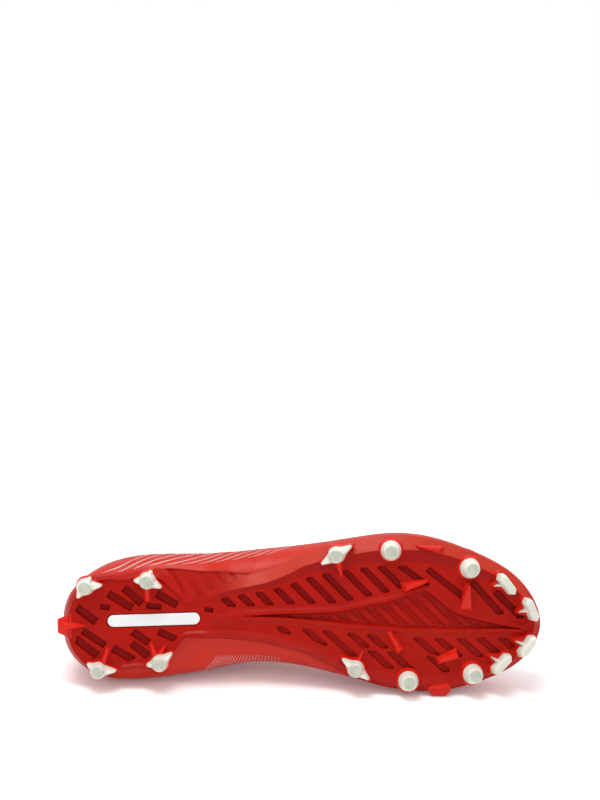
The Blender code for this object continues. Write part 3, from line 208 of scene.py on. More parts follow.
# columns: name; kind; along; across; heading in degrees; fins as pairs of heading and reach
STUDS = (
    ("heel_lateral_rear", "core", 0.060, -0.206, 0, ((-5, 1.95), (125, 1.65), (-62, 1.30))),
    ("heel_lateral_front", "core", 0.186, -0.245, 0, ((180, 1.55), (25, 1.90), (-68, 1.30))),
    ("heel_medial_rear", "core", 0.087, 0.318, 0, ((212, 1.55), (0, 2.10), (100, 1.05))),
    ("heel_medial_front", "core", 0.212, 0.270, 0, ((171, 1.55), (-40, 1.90), (90, 1.05))),
    ("mid_lateral", "core", 0.575, -0.408, 0, ((-32, 2.10), (148, 2.10))),
    ("mid_medial", "core", 0.615, 0.304, 0, ((217, 2.00), (37, 2.00))),
    ("ball_lateral", "round", 0.685, -0.439, 0, ()),
    ("ball_medial", "round", 0.722, 0.379, 0, ()),
    ("fore_lateral", "round", 0.846, -0.327, 0, ()),
    ("fore_medial", "round", 0.854, 0.338, 0, ()),
    ("toe_lateral_outer", "blade", 0.919, -0.227, 52, ((170, 1.45),)),
    ("toe_lateral_inner", "blade", 0.970, -0.064, 66, ((165, 1.45),)),
    ("toe_medial_inner", "blade", 0.963, 0.167, 127, ((205, 1.45),)),
    ("toe_medial_outer", "blade", 0.910, 0.273, 134, ((215, 1.45),)),
)
# columns: name; along; across; heading; length, width and height as shares of STUD_HEIGHT; crest's share of
# the length; width and height at its start and at its end, as shares of its own
LUGS = (
    ("lateral_fin", 0.736, -0.225, -15, 1.45, 0.62, 0.44, 0.72, 1.00, 1.00, 0.25, 0.70),
    ("fore_gusset", 0.842, -0.150, 92, 1.50, 0.62, 0.50, 0.75, 0.40, 1.20, 1.00, 0.30),
    ("medial_fin", 0.694, 0.137, 60, 1.28, 0.52, 0.40, 0.75, 0.45, 0.70, 1.00, 1.00),
    ("toe_fin", 0.803, 0.237, -20, 1.18, 0.62, 0.42, 0.78, 0.55, 0.70, 1.00, 1.10),
    ("lateral_nub", 0.764, -0.450, 10, 1.40, 0.50, 0.32, 0.70, 0.15, 0.60, 1.00, 1.00),
    ("medial_nub", 0.785, 0.420, -6, 1.20, 0.46, 0.32, 0.70, 0.50, 0.80, 0.80, 1.00),
    ("mid_lateral_gusset", 0.581, -0.322, 78, 1.00, 0.42, 0.30, 0.80, 1.50, 1.60, 0.15, 0.25),
    ("mid_medial_gusset", 0.622, 0.252, -70, 0.90, 0.34, 0.28, 0.80, 1.30, 1.60, 0.15, 0.25),
    ("heel_lateral_gusset", 0.186, -0.168, 88, 0.95, 0.46, 0.34, 0.85, 1.10, 1.40, 0.80, 0.60),
    ("heel_medial_gusset", 0.100, 0.238, -72, 0.95, 0.36, 0.32, 0.80, 1.40, 1.50, 0.60, 0.50),
    ("heel_ridge", 0.034, 0.046, -3, 1.15, 0.50, 0.26, 0.75, 1.20, 1.20, 0.25, 0.50),
    ("heel_front_gusset", 0.198, 0.190, -110, 0.85, 0.34, 0.30, 0.80, 1.50, 1.40, 0.30, 0.50),
    ("heel_front_rib", 0.216, 0.202, -62, 0.75, 0.34, 0.28, 0.80, 1.50, 1.40, 0.30, 0.50),
)
SIDE_NUB = (0.787, 0.4800, 14 * MM, 7 * MM, 0.55)
HEEL_NUB_WIDTH = 11 * MM
HEEL_NUB_HEIGHT = 8 * MM
HEEL_NUB_ROOT = 6 * MM


def smooth_table(shares, values):
    """A monotone cubic through a short table, as a function of the share along the shoe."""
    x, y = np.array(shares, float), np.array(values, float)
    step, rise = np.diff(x), np.diff(y) / np.diff(x)
    slope = np.zeros(len(x))
    slope[0], slope[-1] = rise[0], rise[-1]
    for k in range(1, len(x) - 1):
        if rise[k - 1] * rise[k] > 0:
            before, after = 2 * step[k] + step[k - 1], step[k] + 2 * step[k - 1]
            slope[k] = (before + after) / (before / rise[k - 1] + after / rise[k])

    def value(share):
        s = np.clip(share, x[0], x[-1])
        k = np.clip(np.searchsorted(x, s, side="right") - 1, 0, len(step) - 1)
        t = (s - x[k]) / step[k]
        return (
            (2 * t**3 - 3 * t**2 + 1) * y[k]
            + (t**3 - 2 * t**2 + t) * step[k] * slope[k]
            + (3 * t**2 - 2 * t**3) * y[k + 1]
            + (t**3 - t**2) * step[k] * slope[k + 1]
        )

    return value


def columns(table):
    """One smooth function for each column of a table after the first."""
    rows = np.array(table, float)
    return [smooth_table(rows[:, 0], rows[:, c]) for c in range(1, rows.shape[1])]


def closed_spline(points, per_span):
    """A smooth closed cubic through the points, as many small steps."""
    p = np.array(points, float)
    n = len(p)
    ahead = np.roll(p, -1, axis=0) - p
    span = np.linalg.norm(ahead, axis=1)
    system, right = np.zeros((n, n)), np.zeros_like(p)
    for k in range(n):
        before, after = span[k - 1], span[k]
        system[k, k - 1] += before
        system[k, k] += 2 * (before + after)
        system[k, (k + 1) % n] += after
        right[k] = 6 * (ahead[k] / after - ahead[k - 1] / before)
    bend = np.linalg.solve(system, right)
    t = np.linspace(0, 1, per_span, endpoint=False)[:, None]
    out = []
    for k in range(n):
        j, h = (k + 1) % n, span[k]
        curve = ((1 - t) ** 3 - (1 - t)) * bend[k] + (t**3 - t) * bend[j]
        out.append((1 - t) * p[k] + t * p[j] + curve * h * h / 6)
    return np.concatenate(out)


def walked(path):
    """How far along an open path each of its points lies."""
    return np.concatenate([[0], np.cumsum(np.linalg.norm(np.diff(path, axis=0), axis=1))])


def at_reach(path, reached, at):
    """Points of a path, or what belongs to them, at some distances along it."""
    return np.stack([np.interp(at, reached, path[:, c]) for c in range(path.shape[1])], axis=1)


def by_length(path, count):
    """Points at equal steps along an open path, its ends included."""
    reached = walked(path)
    return at_reach(path, reached, np.linspace(0, reached[-1], count))


def ramp(value, low=0.0, high=1.0):
    """A smooth step from 0 at low to 1 at high."""
    t = np.clip((np.asarray(value, float) - low) / (high - low), 0, 1)
    return t * t * (3 - 2 * t)


def unit(vector):
    return vector / np.linalg.norm(vector)


def units(vectors):
    """Vectors along the last axis, each brought to length 1."""
    return vectors / np.linalg.norm(vectors, axis=-1, keepdims=True)


def left_of(way):
    """A vector in plan, turned a quarter to the left."""
    return np.array([-way[1], way[0]])


def headed(degrees):
    """Unit vectors in plan along a heading and to its left."""
    turn = math.radians(degrees)
    way = np.array([math.cos(turn), math.sin(turn)])
    return way, left_of(way)


def from_ends(count, steps):
    """0 at both ends of a row, rising evenly to 1 at the given number of steps from them."""
    return np.clip(np.minimum(np.arange(count), np.arange(count)[::-1]) / steps, 0, 1)


edge_lateral, edge_medial = columns(EDGE_INSET)
rim_lateral, rim_medial = columns(RIM_INSET)
band_lateral, band_medial = columns(RIM_BAND)
arch_share, spring_share = columns(PROFILE)
side_lateral, side_medial, squareness = columns(SIDES)
top_along, top_lateral, top_medial, top_height, top_slope, top_fullness, top_lean = columns(TOPLINE)
pool_lateral, pool_medial = columns(POOL)
(row_line,) = columns(ROW_LINE)
SPAN_STEPS = 60


def floor_height(x):
    """Height of the plate's floor above the ground that the studs stand on."""
    share = np.asarray(x) / LENGTH
    return STUD_HEIGHT + ARCH_RISE * arch_share(share) + TOE_SPRING * spring_share(share)


def sole_top(x):
    return floor_height(x) + PLATE_FLOOR


def widest_outline():
    """Plan points of the widest line, one for each rib: heel tip, lateral side, toe tip, medial side."""
    rows = np.array(WIDEST)
    control = np.concatenate([[HEEL_TIP], rows[:, [0, 1]], [TOE_TIP], rows[::-1, [0, 2]]])
    dense = closed_spline(control * np.array([LENGTH, BALL_WIDTH]), SPAN_STEPS)
    turn = SPAN_STEPS * (len(WIDEST) + 1)
    there = by_length(dense[: turn + 1], RIBS_PER_SIDE + 1)
    back = by_length(np.concatenate([dense[turn:], dense[:1]]), RIBS_PER_SIDE + 1)
    return np.concatenate([there[:-1], back[:-1]])


RIBS = 2 * RIBS_PER_SIDE
OUTLINE = widest_outline()
SHARE = OUTLINE[:, 0] / LENGTH
IS_MEDIAL = np.arange(RIBS) > RIBS_PER_SIDE


def by_side(lateral, medial):
    return np.where(IS_MEDIAL, medial(SHARE), lateral(SHARE))


def inward_normals(ring):
    """Unit normals in plan of a closed ring that runs heel, lateral, toe, medial."""
    ahead = np.roll(ring, -1, axis=0) - np.roll(ring, 1, axis=0)
    return units(np.stack([-ahead[:, 1], ahead[:, 0]], axis=1))


INWARD = inward_normals(OUTLINE)
PLATE_EDGE = OUTLINE + INWARD * (by_side(edge_lateral, edge_medial) * BALL_WIDTH)[:, None]
SOLE_OPENING = PLATE_EDGE + INWARD * FLANGE
FACE_RIM = PLATE_EDGE + INWARD * (by_side(rim_lateral, rim_medial) * BALL_WIDTH)[:, None]
FACE_BAND = FACE_RIM + INWARD * (by_side(band_lateral, band_medial) * BALL_WIDTH)[:, None]
WIDEST_HEIGHT = sole_top(OUTLINE[:, 0]) + SIDE_HEIGHT * by_side(side_lateral, side_medial)


def rib_levels():
    """For every rib the angle, from underside to side, where each ring of its lower curve lies."""
    whole = np.linalg.norm(OUTLINE - SOLE_OPENING, axis=1)
    reach = np.linalg.norm(PLATE_EDGE - SOLE_OPENING, axis=1) / whole
    edge = np.arcsin(np.clip(reach ** (squareness(SHARE) / 2), 0, 1))
    half = np.arcsin(np.clip((reach / 2) ** (squareness(SHARE) / 2), 0, 1))
    steps = [edge + (math.pi / 2 - edge) * k / CORNER_STEPS for k in range(1, CORNER_STEPS + 1)]
    return [np.zeros(RIBS), half, edge, *steps]


def lower_ring(angle):
    power = 2 / squareness(SHARE)
    out, up = np.sin(angle) ** power, 1 - np.cos(angle) ** power
    plan = SOLE_OPENING + (OUTLINE - SOLE_OPENING) * out[:, None]
    low = sole_top(SOLE_OPENING[:, 0])
    return np.column_stack([plan, low + (WIDEST_HEIGHT - low) * up])


def upper_ring(t):
    """A ring of the upper at share t of the way from the widest line to the topline."""
    start = np.column_stack([OUTLINE, WIDEST_HEIGHT])
    across = by_side(top_lateral, top_medial) * BALL_WIDTH
    height = sole_top(0) + top_height(SHARE) * HEEL_HEIGHT
    end = np.column_stack([top_along(SHARE) * LENGTH, across, height])
    way = (end - start)[:, :2]
    plan = np.linalg.norm(way, axis=1)
    rise = end[:, 2] - start[:, 2]
    slope = np.radians(top_slope(SHARE))
    fullness = top_fullness(SHARE)
    pull = 0.5 * (plan * np.cos(slope) + rise * np.sin(slope))
    heading = way / plan[:, None]
    tangent = np.column_stack([heading * np.cos(slope)[:, None], np.sin(slope)])
    lean = np.tan(np.radians(top_lean(SHARE))) * fullness * rise
    first = start + np.column_stack([heading * lean[:, None], fullness * rise])
    second = end - tangent * pull[:, None]
    return (
        (1 - t) ** 3 * start + 3 * (1 - t) ** 2 * t * first + 3 * (1 - t) * t**2 * second + t**3 * end
    )


EDGE_LEVEL = 2
WIDEST_LEVEL = EDGE_LEVEL + CORNER_STEPS
RINGS = np.array(
    [lower_ring(a) for a in rib_levels()] + [upper_ring(k / UPPER_STEPS) for k in range(1, UPPER_STEPS + 1)]
)
# The topline's first ribs would meet in one point at the heel, so they are spread between their neighbours
HEEL_RIBS = 4
spread = np.linspace(0, 1, 2 * HEEL_RIBS + 1)[:, None]
RINGS[-1, np.arange(-HEEL_RIBS, HEEL_RIBS + 1)] = (
    RINGS[-1, -HEEL_RIBS] * (1 - spread) + RINGS[-1, HEEL_RIBS] * spread
)


def outward_normals(rings):
    """Unit normals of a net of rings, pointing out of the shoe."""
    around = np.roll(rings, -1, axis=1) - np.roll(rings, 1, axis=1)
    along = np.empty_like(rings)
    along[1:-1] = rings[2:] - rings[:-2]
    along[0], along[-1] = rings[1] - rings[0], rings[-1] - rings[-2]
    return units(np.cross(around, along))


NORMALS = outward_normals(RINGS)
# Share of the way up the side of each ring, below 0 under the widest line
UP_SHARE = (np.arange(len(RINGS)) - WIDEST_LEVEL) / UPPER_STEPS


def wall_thickness():
    swell = np.sin(np.clip((UP_SHARE - 0.35) / 0.65, 0, 1) * math.pi * 0.75)
    collar = np.clip((COLLAR_ENDS - SHARE) / 0.06, 0, 1)
    return WALL + COLLAR_PAD * swell[:, None] * collar[None, :]


def lying():
    """The matrix that lays the standing shoe down."""
    down = Vector(
        (
            -math.sin(TOE_TURN),
            math.cos(TOE_TURN) * math.cos(SOLE_LEAN),
            math.cos(TOE_TURN) * math.sin(SOLE_LEAN),
        )
    )
    ahead = (Vector((1, 0, 0)) - down * down.x).normalized()
    return Matrix.Translation(LYING_SHIFT) @ Matrix((ahead, ahead.cross(down), -down)).to_4x4()


LYING = lying()


# Materials

# Painted light: the paler red that the plate's lateral side is mixed towards, as if lit from above
PAINTED_LIGHT_RED = (0.50, 0.052, 0.028)


class Look:
    """A material's node tree, with short calls to add nodes and join them."""

    def __init__(self, name, colour, roughness):
        self.material = bpy.data.materials.new(name)
        self.material.use_nodes = True
        self.tree = self.material.node_tree
        self.shader = self.tree.nodes["Principled BSDF"]
        self.set("Base Color", (*colour, 1))
        self.set("Roughness", roughness)

    def set(self, socket, value):
        self.shader.inputs[socket].default_value = value

    def link(self, output, socket):
        self.tree.links.new(output, socket)

    def node(self, kind, **inputs):
        made = self.tree.nodes.new(kind)
        for name, value in inputs.items():
            socket = made.inputs[name.replace("_", " ")]
            if isinstance(value, bpy.types.NodeSocket):
                self.link(value, socket)
            else:
                socket.default_value = value
        return made

    def coords(self, stretch=(1, 1, 1)):
        place = self.node("ShaderNodeTexCoord").outputs["Object"]
        return self.node("ShaderNodeMapping", Vector=place, Scale=stretch).outputs["Vector"]

    def noise(self, scale, detail=3.0, stretch=(1, 1, 1)):
        made = self.node("ShaderNodeTexNoise", Vector=self.coords(stretch), Scale=scale, Detail=detail)
        return made.outputs["Fac"]

    def cells(self, scale, stretch=(1, 1, 1)):
        made = self.node("ShaderNodeTexVoronoi", Vector=self.coords(stretch), Scale=scale)
        return made.outputs["Distance"]

    def attribute(self, name):
        made = self.node("ShaderNodeAttribute")
        made.attribute_name = name
        return made.outputs["Fac"]

    def span(self, value, low, high, to_low=0.0, to_high=1.0):
        made = self.node("ShaderNodeMapRange", Value=value)
        for name, number in (("From Min", low), ("From Max", high), ("To Min", to_low), ("To Max", to_high)):
            made.inputs[name].default_value = number
        return made.outputs["Result"]

    def mix(self, share, first, second):
        made = self.node("ShaderNodeMix")
        made.data_type = "RGBA"
        for socket, value in ((made.inputs[0], share), (made.inputs[6], first), (made.inputs[7], second)):
            if isinstance(value, bpy.types.NodeSocket):
                self.link(value, socket)
            else:
                socket.default_value = value if isinstance(value, float) else (*value, 1)
        return made.outputs[2]

    def colour(self, output):
        self.link(output, self.shader.inputs["Base Color"])

    def roughness(self, output):
        self.link(output, self.shader.inputs["Roughness"])

    def bump(self, *layers):
        """Each layer is a height output, its strength and its distance in metres."""
        last = None
        for height, strength, distance in layers:
            made = self.node("ShaderNodeBump", Height=height, Strength=strength, Distance=distance)
            if last is not None:
                self.link(last, made.inputs["Normal"])
            last = made.outputs["Normal"]
        self.link(last, self.shader.inputs["Normal"])


def moulded_red(name, colour, shade_colour, roughness, coat):
    """Glossy moulded plastic: even colour, faint mould grain and scuffs, with painted shade (the shade
    colour) where the face is recessed and painted light (a paler red) on the plate's lateral side, which
    faces up to the lamps.
    """
    look = Look(name, colour, roughness)
    look.set("Coat Weight", coat)
    look.set("Coat Roughness", 0.22)
    look.set("Specular IOR Level", 0.09)
    cloudy = look.span(look.noise(38), 0.35, 0.7)
    tinted = look.mix(cloudy, colour, tuple(c * 0.88 for c in colour))
    # Painted light on the plate's lateral side, then painted shade where the face is recessed
    painted_light = look.mix(look.attribute("painted_light_share"), tinted, PAINTED_LIGHT_RED)
    look.colour(look.mix(look.attribute("painted_shade"), painted_light, shade_colour))
    scuffs = look.noise(90, 6.0, (1, 4, 1))
    look.roughness(look.span(scuffs, 0.35, 0.75, roughness - 0.06, roughness + 0.14))
    look.bump((look.noise(700, 2.0), 0.10, 0.0004), (look.noise(60, 2.0), 0.10, 0.0012))
    return look.material


def skin_red():
    """Coated synthetic skin: fine pebble grain, a soft sheen, slightly uneven colour."""
    colour = (0.50, 0.0150, 0.0028)
    look = Look("red_skin", colour, 0.40)
    look.set("Coat Weight", 0.12)
    look.set("Coat Roughness", 0.35)
    cloudy = look.span(look.noise(22, 4.0), 0.35, 0.7)
    look.colour(look.mix(cloudy, colour, (0.45, 0.0120, 0.0022)))
    look.set("Specular IOR Level", 0.18)
    look.roughness(look.span(look.noise(120, 4.0), 0.3, 0.7, 0.34, 0.50))
    look.bump((look.cells(1300), 0.16, 0.0005), (look.noise(300, 3.0), 0.12, 0.0006))
    return look.material


def cloth(name, colour, weave, sheen=0.3):
    """A fine woven or knitted cloth: crossed threads, a soft sheen and uneven colour."""
    look = Look(name, colour, 0.85)
    look.set("Sheen Weight", sheen)
    look.set("Sheen Roughness", 0.5)
    look.set("Specular IOR Level", 0.25)
    rows = look.node("ShaderNodeTexWave", Vector=look.coords(), Scale=weave, Distortion=0.6, Detail=1.0)
    rows.bands_direction = "DIAGONAL"
    cross_rows = look.node("ShaderNodeTexWave", Vector=look.coords((1, -1, 1)), Scale=weave, Distortion=0.6)
    cross_rows.bands_direction = "DIAGONAL"
    crossed = look.node("ShaderNodeMath")
    crossed.operation = "MULTIPLY"
    look.link(rows.outputs["Fac"], crossed.inputs[0])
    look.link(cross_rows.outputs["Fac"], crossed.inputs[1])
    shaded = look.mix(crossed.outputs[0], tuple(c * 0.62 for c in colour), colour)
    cloudy = look.span(look.noise(30), 0.3, 0.8, 0.0, 0.35)
    look.colour(look.mix(cloudy, shaded, tuple(c * 0.8 for c in colour)))
    look.bump((crossed.outputs[0], 0.5, 0.0005))
    return look.material


def stud_white():
    """Creamy moulded plastic, greyer and rougher on the flat worn tip."""
    colour = (0.69, 0.69, 0.61)
    look = Look("white_tip", colour, 0.38)
    look.set("Coat Weight", 0.25)
    look.set("Coat Roughness", 0.3)
    worn = look.attribute("worn")
    blotched = look.mix(look.span(look.noise(260, 4.0), 0.35, 0.7), (0.37, 0.39, 0.31), (0.49, 0.51, 0.42))
    cloudy = look.mix(look.span(look.noise(130), 0.35, 0.7), colour, (0.64, 0.64, 0.55))
    look.colour(look.mix(worn, cloudy, blotched))
    look.roughness(look.span(worn, 0.0, 1.0, 0.36, 0.62))
    look.bump((look.noise(900, 3.0), 0.18, 0.0004))
    return look.material


def plain_white():
    colour = (0.74, 0.74, 0.74)
    look = Look("white_badge", colour, 0.34)
    look.set("Coat Weight", 0.2)
    cloudy = look.span(look.noise(60), 0.35, 0.7)
    look.colour(look.mix(cloudy, colour, (0.68, 0.68, 0.68)))
    look.roughness(look.span(look.noise(180, 4.0), 0.3, 0.7, 0.28, 0.42))
    look.bump((look.noise(500, 2.0), 0.08, 0.0004))
    return look.material


# Meshes


def added(name, data):
    """A new object of the scene with the given data."""
    made = bpy.data.objects.new(name, data)
    bpy.context.scene.collection.objects.link(made)
    return made


def piece(name, points, faces, materials, node=None, slot=None, smooth=38, marks=None, inner=None):
    """A mesh object of the shoe in its lying place, with the attributes and material slots of its faces."""
    mesh = bpy.data.meshes.new(name)
    mesh.from_pydata(np.asarray(points).tolist(), [], [tuple(map(int, f)) for f in faces])
    for material in materials:
        mesh.materials.append(material)
    if inner is not None:
        mesh.polygons.foreach_set("material_index", np.asarray(inner, np.int32))
    for label, values in (marks or {}).items():
        made = mesh.attributes.new(label, "FLOAT", "POINT")
        made.data.foreach_set("value", np.asarray(values, np.float32))
    mesh.transform(LYING)
    mesh.shade_smooth()
    if smooth:
        mesh.set_sharp_from_angle(angle=math.radians(smooth))
    mesh.update()
    obj = added(name, mesh)
    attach(obj, "root")
    if node:
        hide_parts(*([node] if isinstance(node, str) else node))
    return obj


def net_faces(rows, width, first=0, closed=True):
    """Quads of a net of rows, closed on itself sideways or open, as an array."""
    r, c = np.meshgrid(np.arange(rows - 1), np.arange(width if closed else width - 1), indexing="ij")
    d = (c + 1) % width
    a, b = first + r * width, first + (r + 1) * width
    return np.stack([a + c, a + d, b + d, b + c], axis=-1).reshape(-1, 4)


def ladder_cap(first):
    """Faces that close a ring of ribs straight across the shoe, from heel to toe."""
    cap = [(first, first + 1, first + RIBS - 1)]
    for k in range(1, RIBS_PER_SIDE - 1):
        cap.append((first + k, first + k + 1, first + RIBS - k - 1, first + RIBS - k))
    return cap + [(first + RIBS_PER_SIDE - 1, first + RIBS_PER_SIDE, first + RIBS_PER_SIDE + 1)]


class Pile:
    """Points and faces of several closed meshes that make one piece."""

    def __init__(self):
        self.points, self.faces, self.count = [], [], 0

    def add(self, points, faces):
        self.points.append(np.asarray(points))
        self.faces.extend([tuple(self.count + int(i) for i in f) for f in faces])
        self.count += len(points)

    def make(self, name, material, **kinds):
        return piece(name, np.concatenate(self.points), self.faces, [material], **kinds)


def tube(centres, asides, overs, closed=False):
    """A closed tube whose section is the ellipse of the two half axes at each point of its line."""
    steps = 10
    turn = 2 * math.pi * np.arange(steps) / steps
    ring = np.cos(turn)[None, :, None] * asides[:, None, :] + np.sin(turn)[None, :, None] * overs[:, None, :]
    points = (centres[:, None, :] + ring).reshape(-1, 3)
    rows = len(centres)
    faces = net_faces(rows, steps).tolist()
    if closed:
        last = (rows - 1) * steps
        faces += [(last + k, last + (k + 1) % steps, (k + 1) % steps, k) for k in range(steps)]
    else:
        faces += [tuple(range(steps))[::-1], tuple(range((rows - 1) * steps, rows * steps))]
    return points, faces


def frames_along(line, up):
    """Unit vectors across a line and over it, from its upward directions."""
    way = units(np.gradient(line, axis=0))
    aside = units(np.cross(up, way))
    return aside, np.cross(way, aside)


# The plate


POOL_ENDS = (POOL[0][0] * LENGTH, POOL[-1][0] * LENGTH)


def pool_side(x, side, offset):
    reach = (pool_medial if side > 0 else pool_lateral)(np.asarray(x) / LENGTH) * BALL_WIDTH
    return reach + side * offset


def pool_reach(x, y):
    """How far outside the pool a plan point lies, negative inside."""
    across = np.maximum(y - pool_side(x, 1, 0), pool_side(x, -1, 0) - y)
    return np.maximum(across, np.maximum(POOL_ENDS[0] - x, x - POOL_ENDS[1]))


def band_side(x, side):
    half = FACE_BAND[: RIBS_PER_SIDE + 1] if side < 0 else FACE_BAND[RIBS_PER_SIDE:][::-1]
    order = np.argsort(half[:, 0])
    return np.interp(x, half[order, 0], half[order, 1])


def clipped_strip(x, y, angle, width, low, high, longest=LONGEST_SLOT):
    """A slanted slot through (x, y) whose long edges stop at the curves low(x) and high(x), or None."""
    way, aside = headed(angle)
    ends = []
    for half in (-0.5, 0.5):
        start = np.array([x, y]) + aside * width * half
        walk = np.linspace(-longest / 2, longest / 2, 481)
        line = start + walk[:, None] * way
        inside = (line[:, 1] > low(line[:, 0])) & (line[:, 1] < high(line[:, 0]))
        centre = len(walk) // 2
        if not inside[centre]:
            return None
        first, last = centre, centre
        while first > 0 and inside[first - 1]:
            first -= 1
        while last < len(walk) - 1 and inside[last + 1]:
            last += 1
        ends.append((line[first], line[last]))
    (a, b), (c, d) = ends
    if min(np.linalg.norm(b - a), np.linalg.norm(d - c)) < SHORTEST_SLOT:
        return None
    return np.array([a, b, d, c])


def beside_ridge(side):
    return lambda x: pool_side(x, side, RIDGE_MARGIN)


def beside_band(side):
    return lambda x: band_side(x, side) - side * SLOT_MARGIN


def beside_rows(side):
    band = beside_band(1)
    return lambda x: np.minimum(row_line(x / LENGTH) * BALL_WIDTH + side * SLOT_MARGIN / 2, band(x))


def beside_badge(side):
    share, across, angle = BADGE

    def line(x):
        along = x - share * LENGTH
        middle = across * BALL_WIDTH + along * math.tan(math.radians(angle))
        past = np.abs(along) > BADGE_LENGTH / 2 + BADGE_MARGIN
        return np.where(past, -side * BALL_WIDTH, middle + side * (BADGE_WIDTH / 2 + BADGE_MARGIN))

    return line


def all_slots():
    """The corners in plan of every slot of the forefoot and the heel."""
    wanted = []
    for share, turn in LATERAL_SLOTS:
        wanted.append((share, turn, beside_band(-1), beside_ridge(-1)))
    bounds = {
        "whole": (beside_ridge(1), beside_band(1)),
        "inner": (beside_ridge(1), beside_rows(-1)),
        "outer": (beside_rows(1), beside_band(1)),
    }
    wanted += [(share, turn, *bounds[row]) for share, turn, row in MEDIAL_SLOTS]
    out = []
    for share, turn, low, high in wanted:
        x = share * LENGTH
        out.append(clipped_strip(x, (low(x) + high(x)) / 2, turn, SLOT_WIDTH, low, high))
    for share, across, length, width, turn in HEEL_SLOTS:
        side = 1 if across > BADGE[1] else -1
        near, far = beside_badge(side), beside_band(side)
        low, high = (near, far) if side > 0 else (far, near)
        place = (share * LENGTH, across * BALL_WIDTH, turn, width * HEEL_SLOT_WIDTH)
        out.append(clipped_strip(*place, low, high, length * LENGTH))
    return [strip for strip in out if strip is not None]


def polygon_reach(points, corners):
    """Signed distance in plan from points to a convex outline, negative inside."""
    nearest = np.full(len(points), np.inf)
    inside = np.ones(len(points), bool)
    centre = corners.mean(0)
    for k in range(len(corners)):
        a, b = corners[k], corners[(k + 1) % len(corners)]
        way = b - a
        t = np.clip(((points - a) @ way) / (way @ way), 0, 1)
        nearest = np.minimum(nearest, np.linalg.norm(points - a - t[:, None] * way, axis=1))
        normal = left_of(way)
        side = np.sign(normal @ (centre - a))
        inside &= side * ((points - a) @ normal) >= 0
    return np.where(inside, -nearest, nearest)


def turning(corners):
    """1 for a convex outline that runs to the left, -1 for one that runs to the right."""
    return np.sign(np.cross(corners[1] - corners[0], corners[2] - corners[1]))


def moved_in(corners, by):
    """A convex outline moved in by the same distance on every side."""
    count = len(corners)
    turn = turning(corners)
    out = []
    for k in range(count):
        before, after = unit(corners[k] - corners[k - 1]), unit(corners[(k + 1) % count] - corners[k])
        n1, n2 = left_of(before) * turn, left_of(after) * turn
        out.append(corners[k] + (n1 + n2) / (1 + n1 @ n2) * by)
    return np.array(out)


def rounded(corners, corner_radius, offset, spacing):
    """Points round a convex outline with rounded corners, moved out by the offset."""
    inner = moved_in(corners, corner_radius)
    reach = corner_radius + offset
    count = len(inner)
    turn = turning(corners)
    out = []
    for k in range(count):
        a, b, c = inner[k - 1], inner[k], inner[(k + 1) % count]
        n1, n2 = -turn * left_of(unit(b - a)), -turn * left_of(unit(c - b))
        for t in np.linspace(0, 1, 5):
            out.append(b + unit(n1 * (1 - t) + n2 * t) * reach)
        length = np.linalg.norm(c - b)
        for t in np.linspace(0, 1, max(2, int(length / spacing) + 1))[1:-1]:
            out.append(b + (c - b) * t + n2 * reach)
    return np.array(out)


def badge_axis():
    """The badge bar's middle, its heading, and half the distance between the middles of its round ends."""
    share, across, angle = BADGE
    middle = np.array([share * LENGTH, across * BALL_WIDTH])
    return middle, headed(angle)[0], (BADGE_LENGTH - BADGE_WIDTH) / 2


def capsule_reach(points, grow):
    """Signed distance in plan to the badge's bar, negative inside."""
    middle, way, half = badge_axis()
    along = np.clip((points - middle) @ way, -half, half)
    return np.linalg.norm(points - middle - along[:, None] * way, axis=1) - BADGE_WIDTH / 2 - grow


def capsule_ring(offset):
    """Points round the badge's bar, moved out by the offset."""
    middle, way, half = badge_axis()
    out = []
    for side in (1, -1):
        for turn in np.linspace(-90, 90, BADGE_END_STEPS):
            spoke = side * headed(BADGE[2] + turn)[0]
            out.append(middle + side * half * way + spoke * (BADGE_WIDTH / 2 + offset))
    return by_length(np.array(out + out[:1]), BADGE_STEPS + 1)[:-1]


SLOTS = all_slots()
SLOT_CORNER = 0.9 * MM
POOL_BAND_DEPTH = 0.60 * MM
POOL_BAND_PITCH = 10.9 * MM
NECK_START = 0.306
BADGE_END = 0.30 * LENGTH
NECK_WIDTH = 0.9 * MM
NECK_SPREAD = 0.4 * MM
# Painted shade, as shares of the shade colour: in the medial forefoot slots, on the rim's inward facet on
# each side, in the pool and on its low bands, and in the badge's seat
MEDIAL_SLOT_SHADE = 0.30
LATERAL_RIM_SHADE = 0.50
MEDIAL_RIM_SHADE = 0.08
POOL_SHADE = 0.10
POOL_BAND_SHADE = 0.52
BAND_EDGE = (0.42, 0.58)
POOL_BAND_START = 2.42 * MM
BADGE_SEAT_SHADE = 0.9
FACET_END = 0.92
FACET_FULL = 0.4 * LENGTH
SLOT_LIP = 0.12 * MM
RELIEF_WINDOW = 14 * MM
NECK_GROOVE = 0.55
NECK_GROOVE_WIDTH = 0.8 * MM
# Rows and rings of points that the face's net is made of, in millimetres or as shares of the rim's band
RIM_ROWS = (0.04, 0.12, 0.35, 0.6, 0.86, 0.96, 1.0)
POOL_ROWS = (4.4, 3.6, 3.1, 2.6, 2.1, 1.7, 1.3, 0.6, 0.15, 0.0, -0.15, -0.35, -0.6, -0.85, -1.1, -1.5, -2.4)
SLOT_RINGS = (0.5, 0.12, 0.02, -0.12, -0.25, -0.38, -0.5, -0.62)
BADGE_RINGS = (1.2, 0.7, 0.6, 0.4, 0.35, 0.25, -0.6)
NET_STEP = 1.9 * MM
POOL_STEP = 0.8 * MM
BAND_STEP = 0.6 * MM
SLOT_STEP = 0.75 * MM
# How far the net's points keep from the rim, from its ends, and from rows that are finer than they are
RIM_MARGIN = 0.12 * MM
END_MARGIN = 0.1 * MM
BAND_INSET = 0.9 * MM
BAND_CLEAR = 1.6 * MM
POOL_CLEAR = 4.0 * MM
SLOT_CLEAR = 0.9 * MM
ROW_SLACK = 0.05 * MM
MERGE_REACH = 0.02 * MM


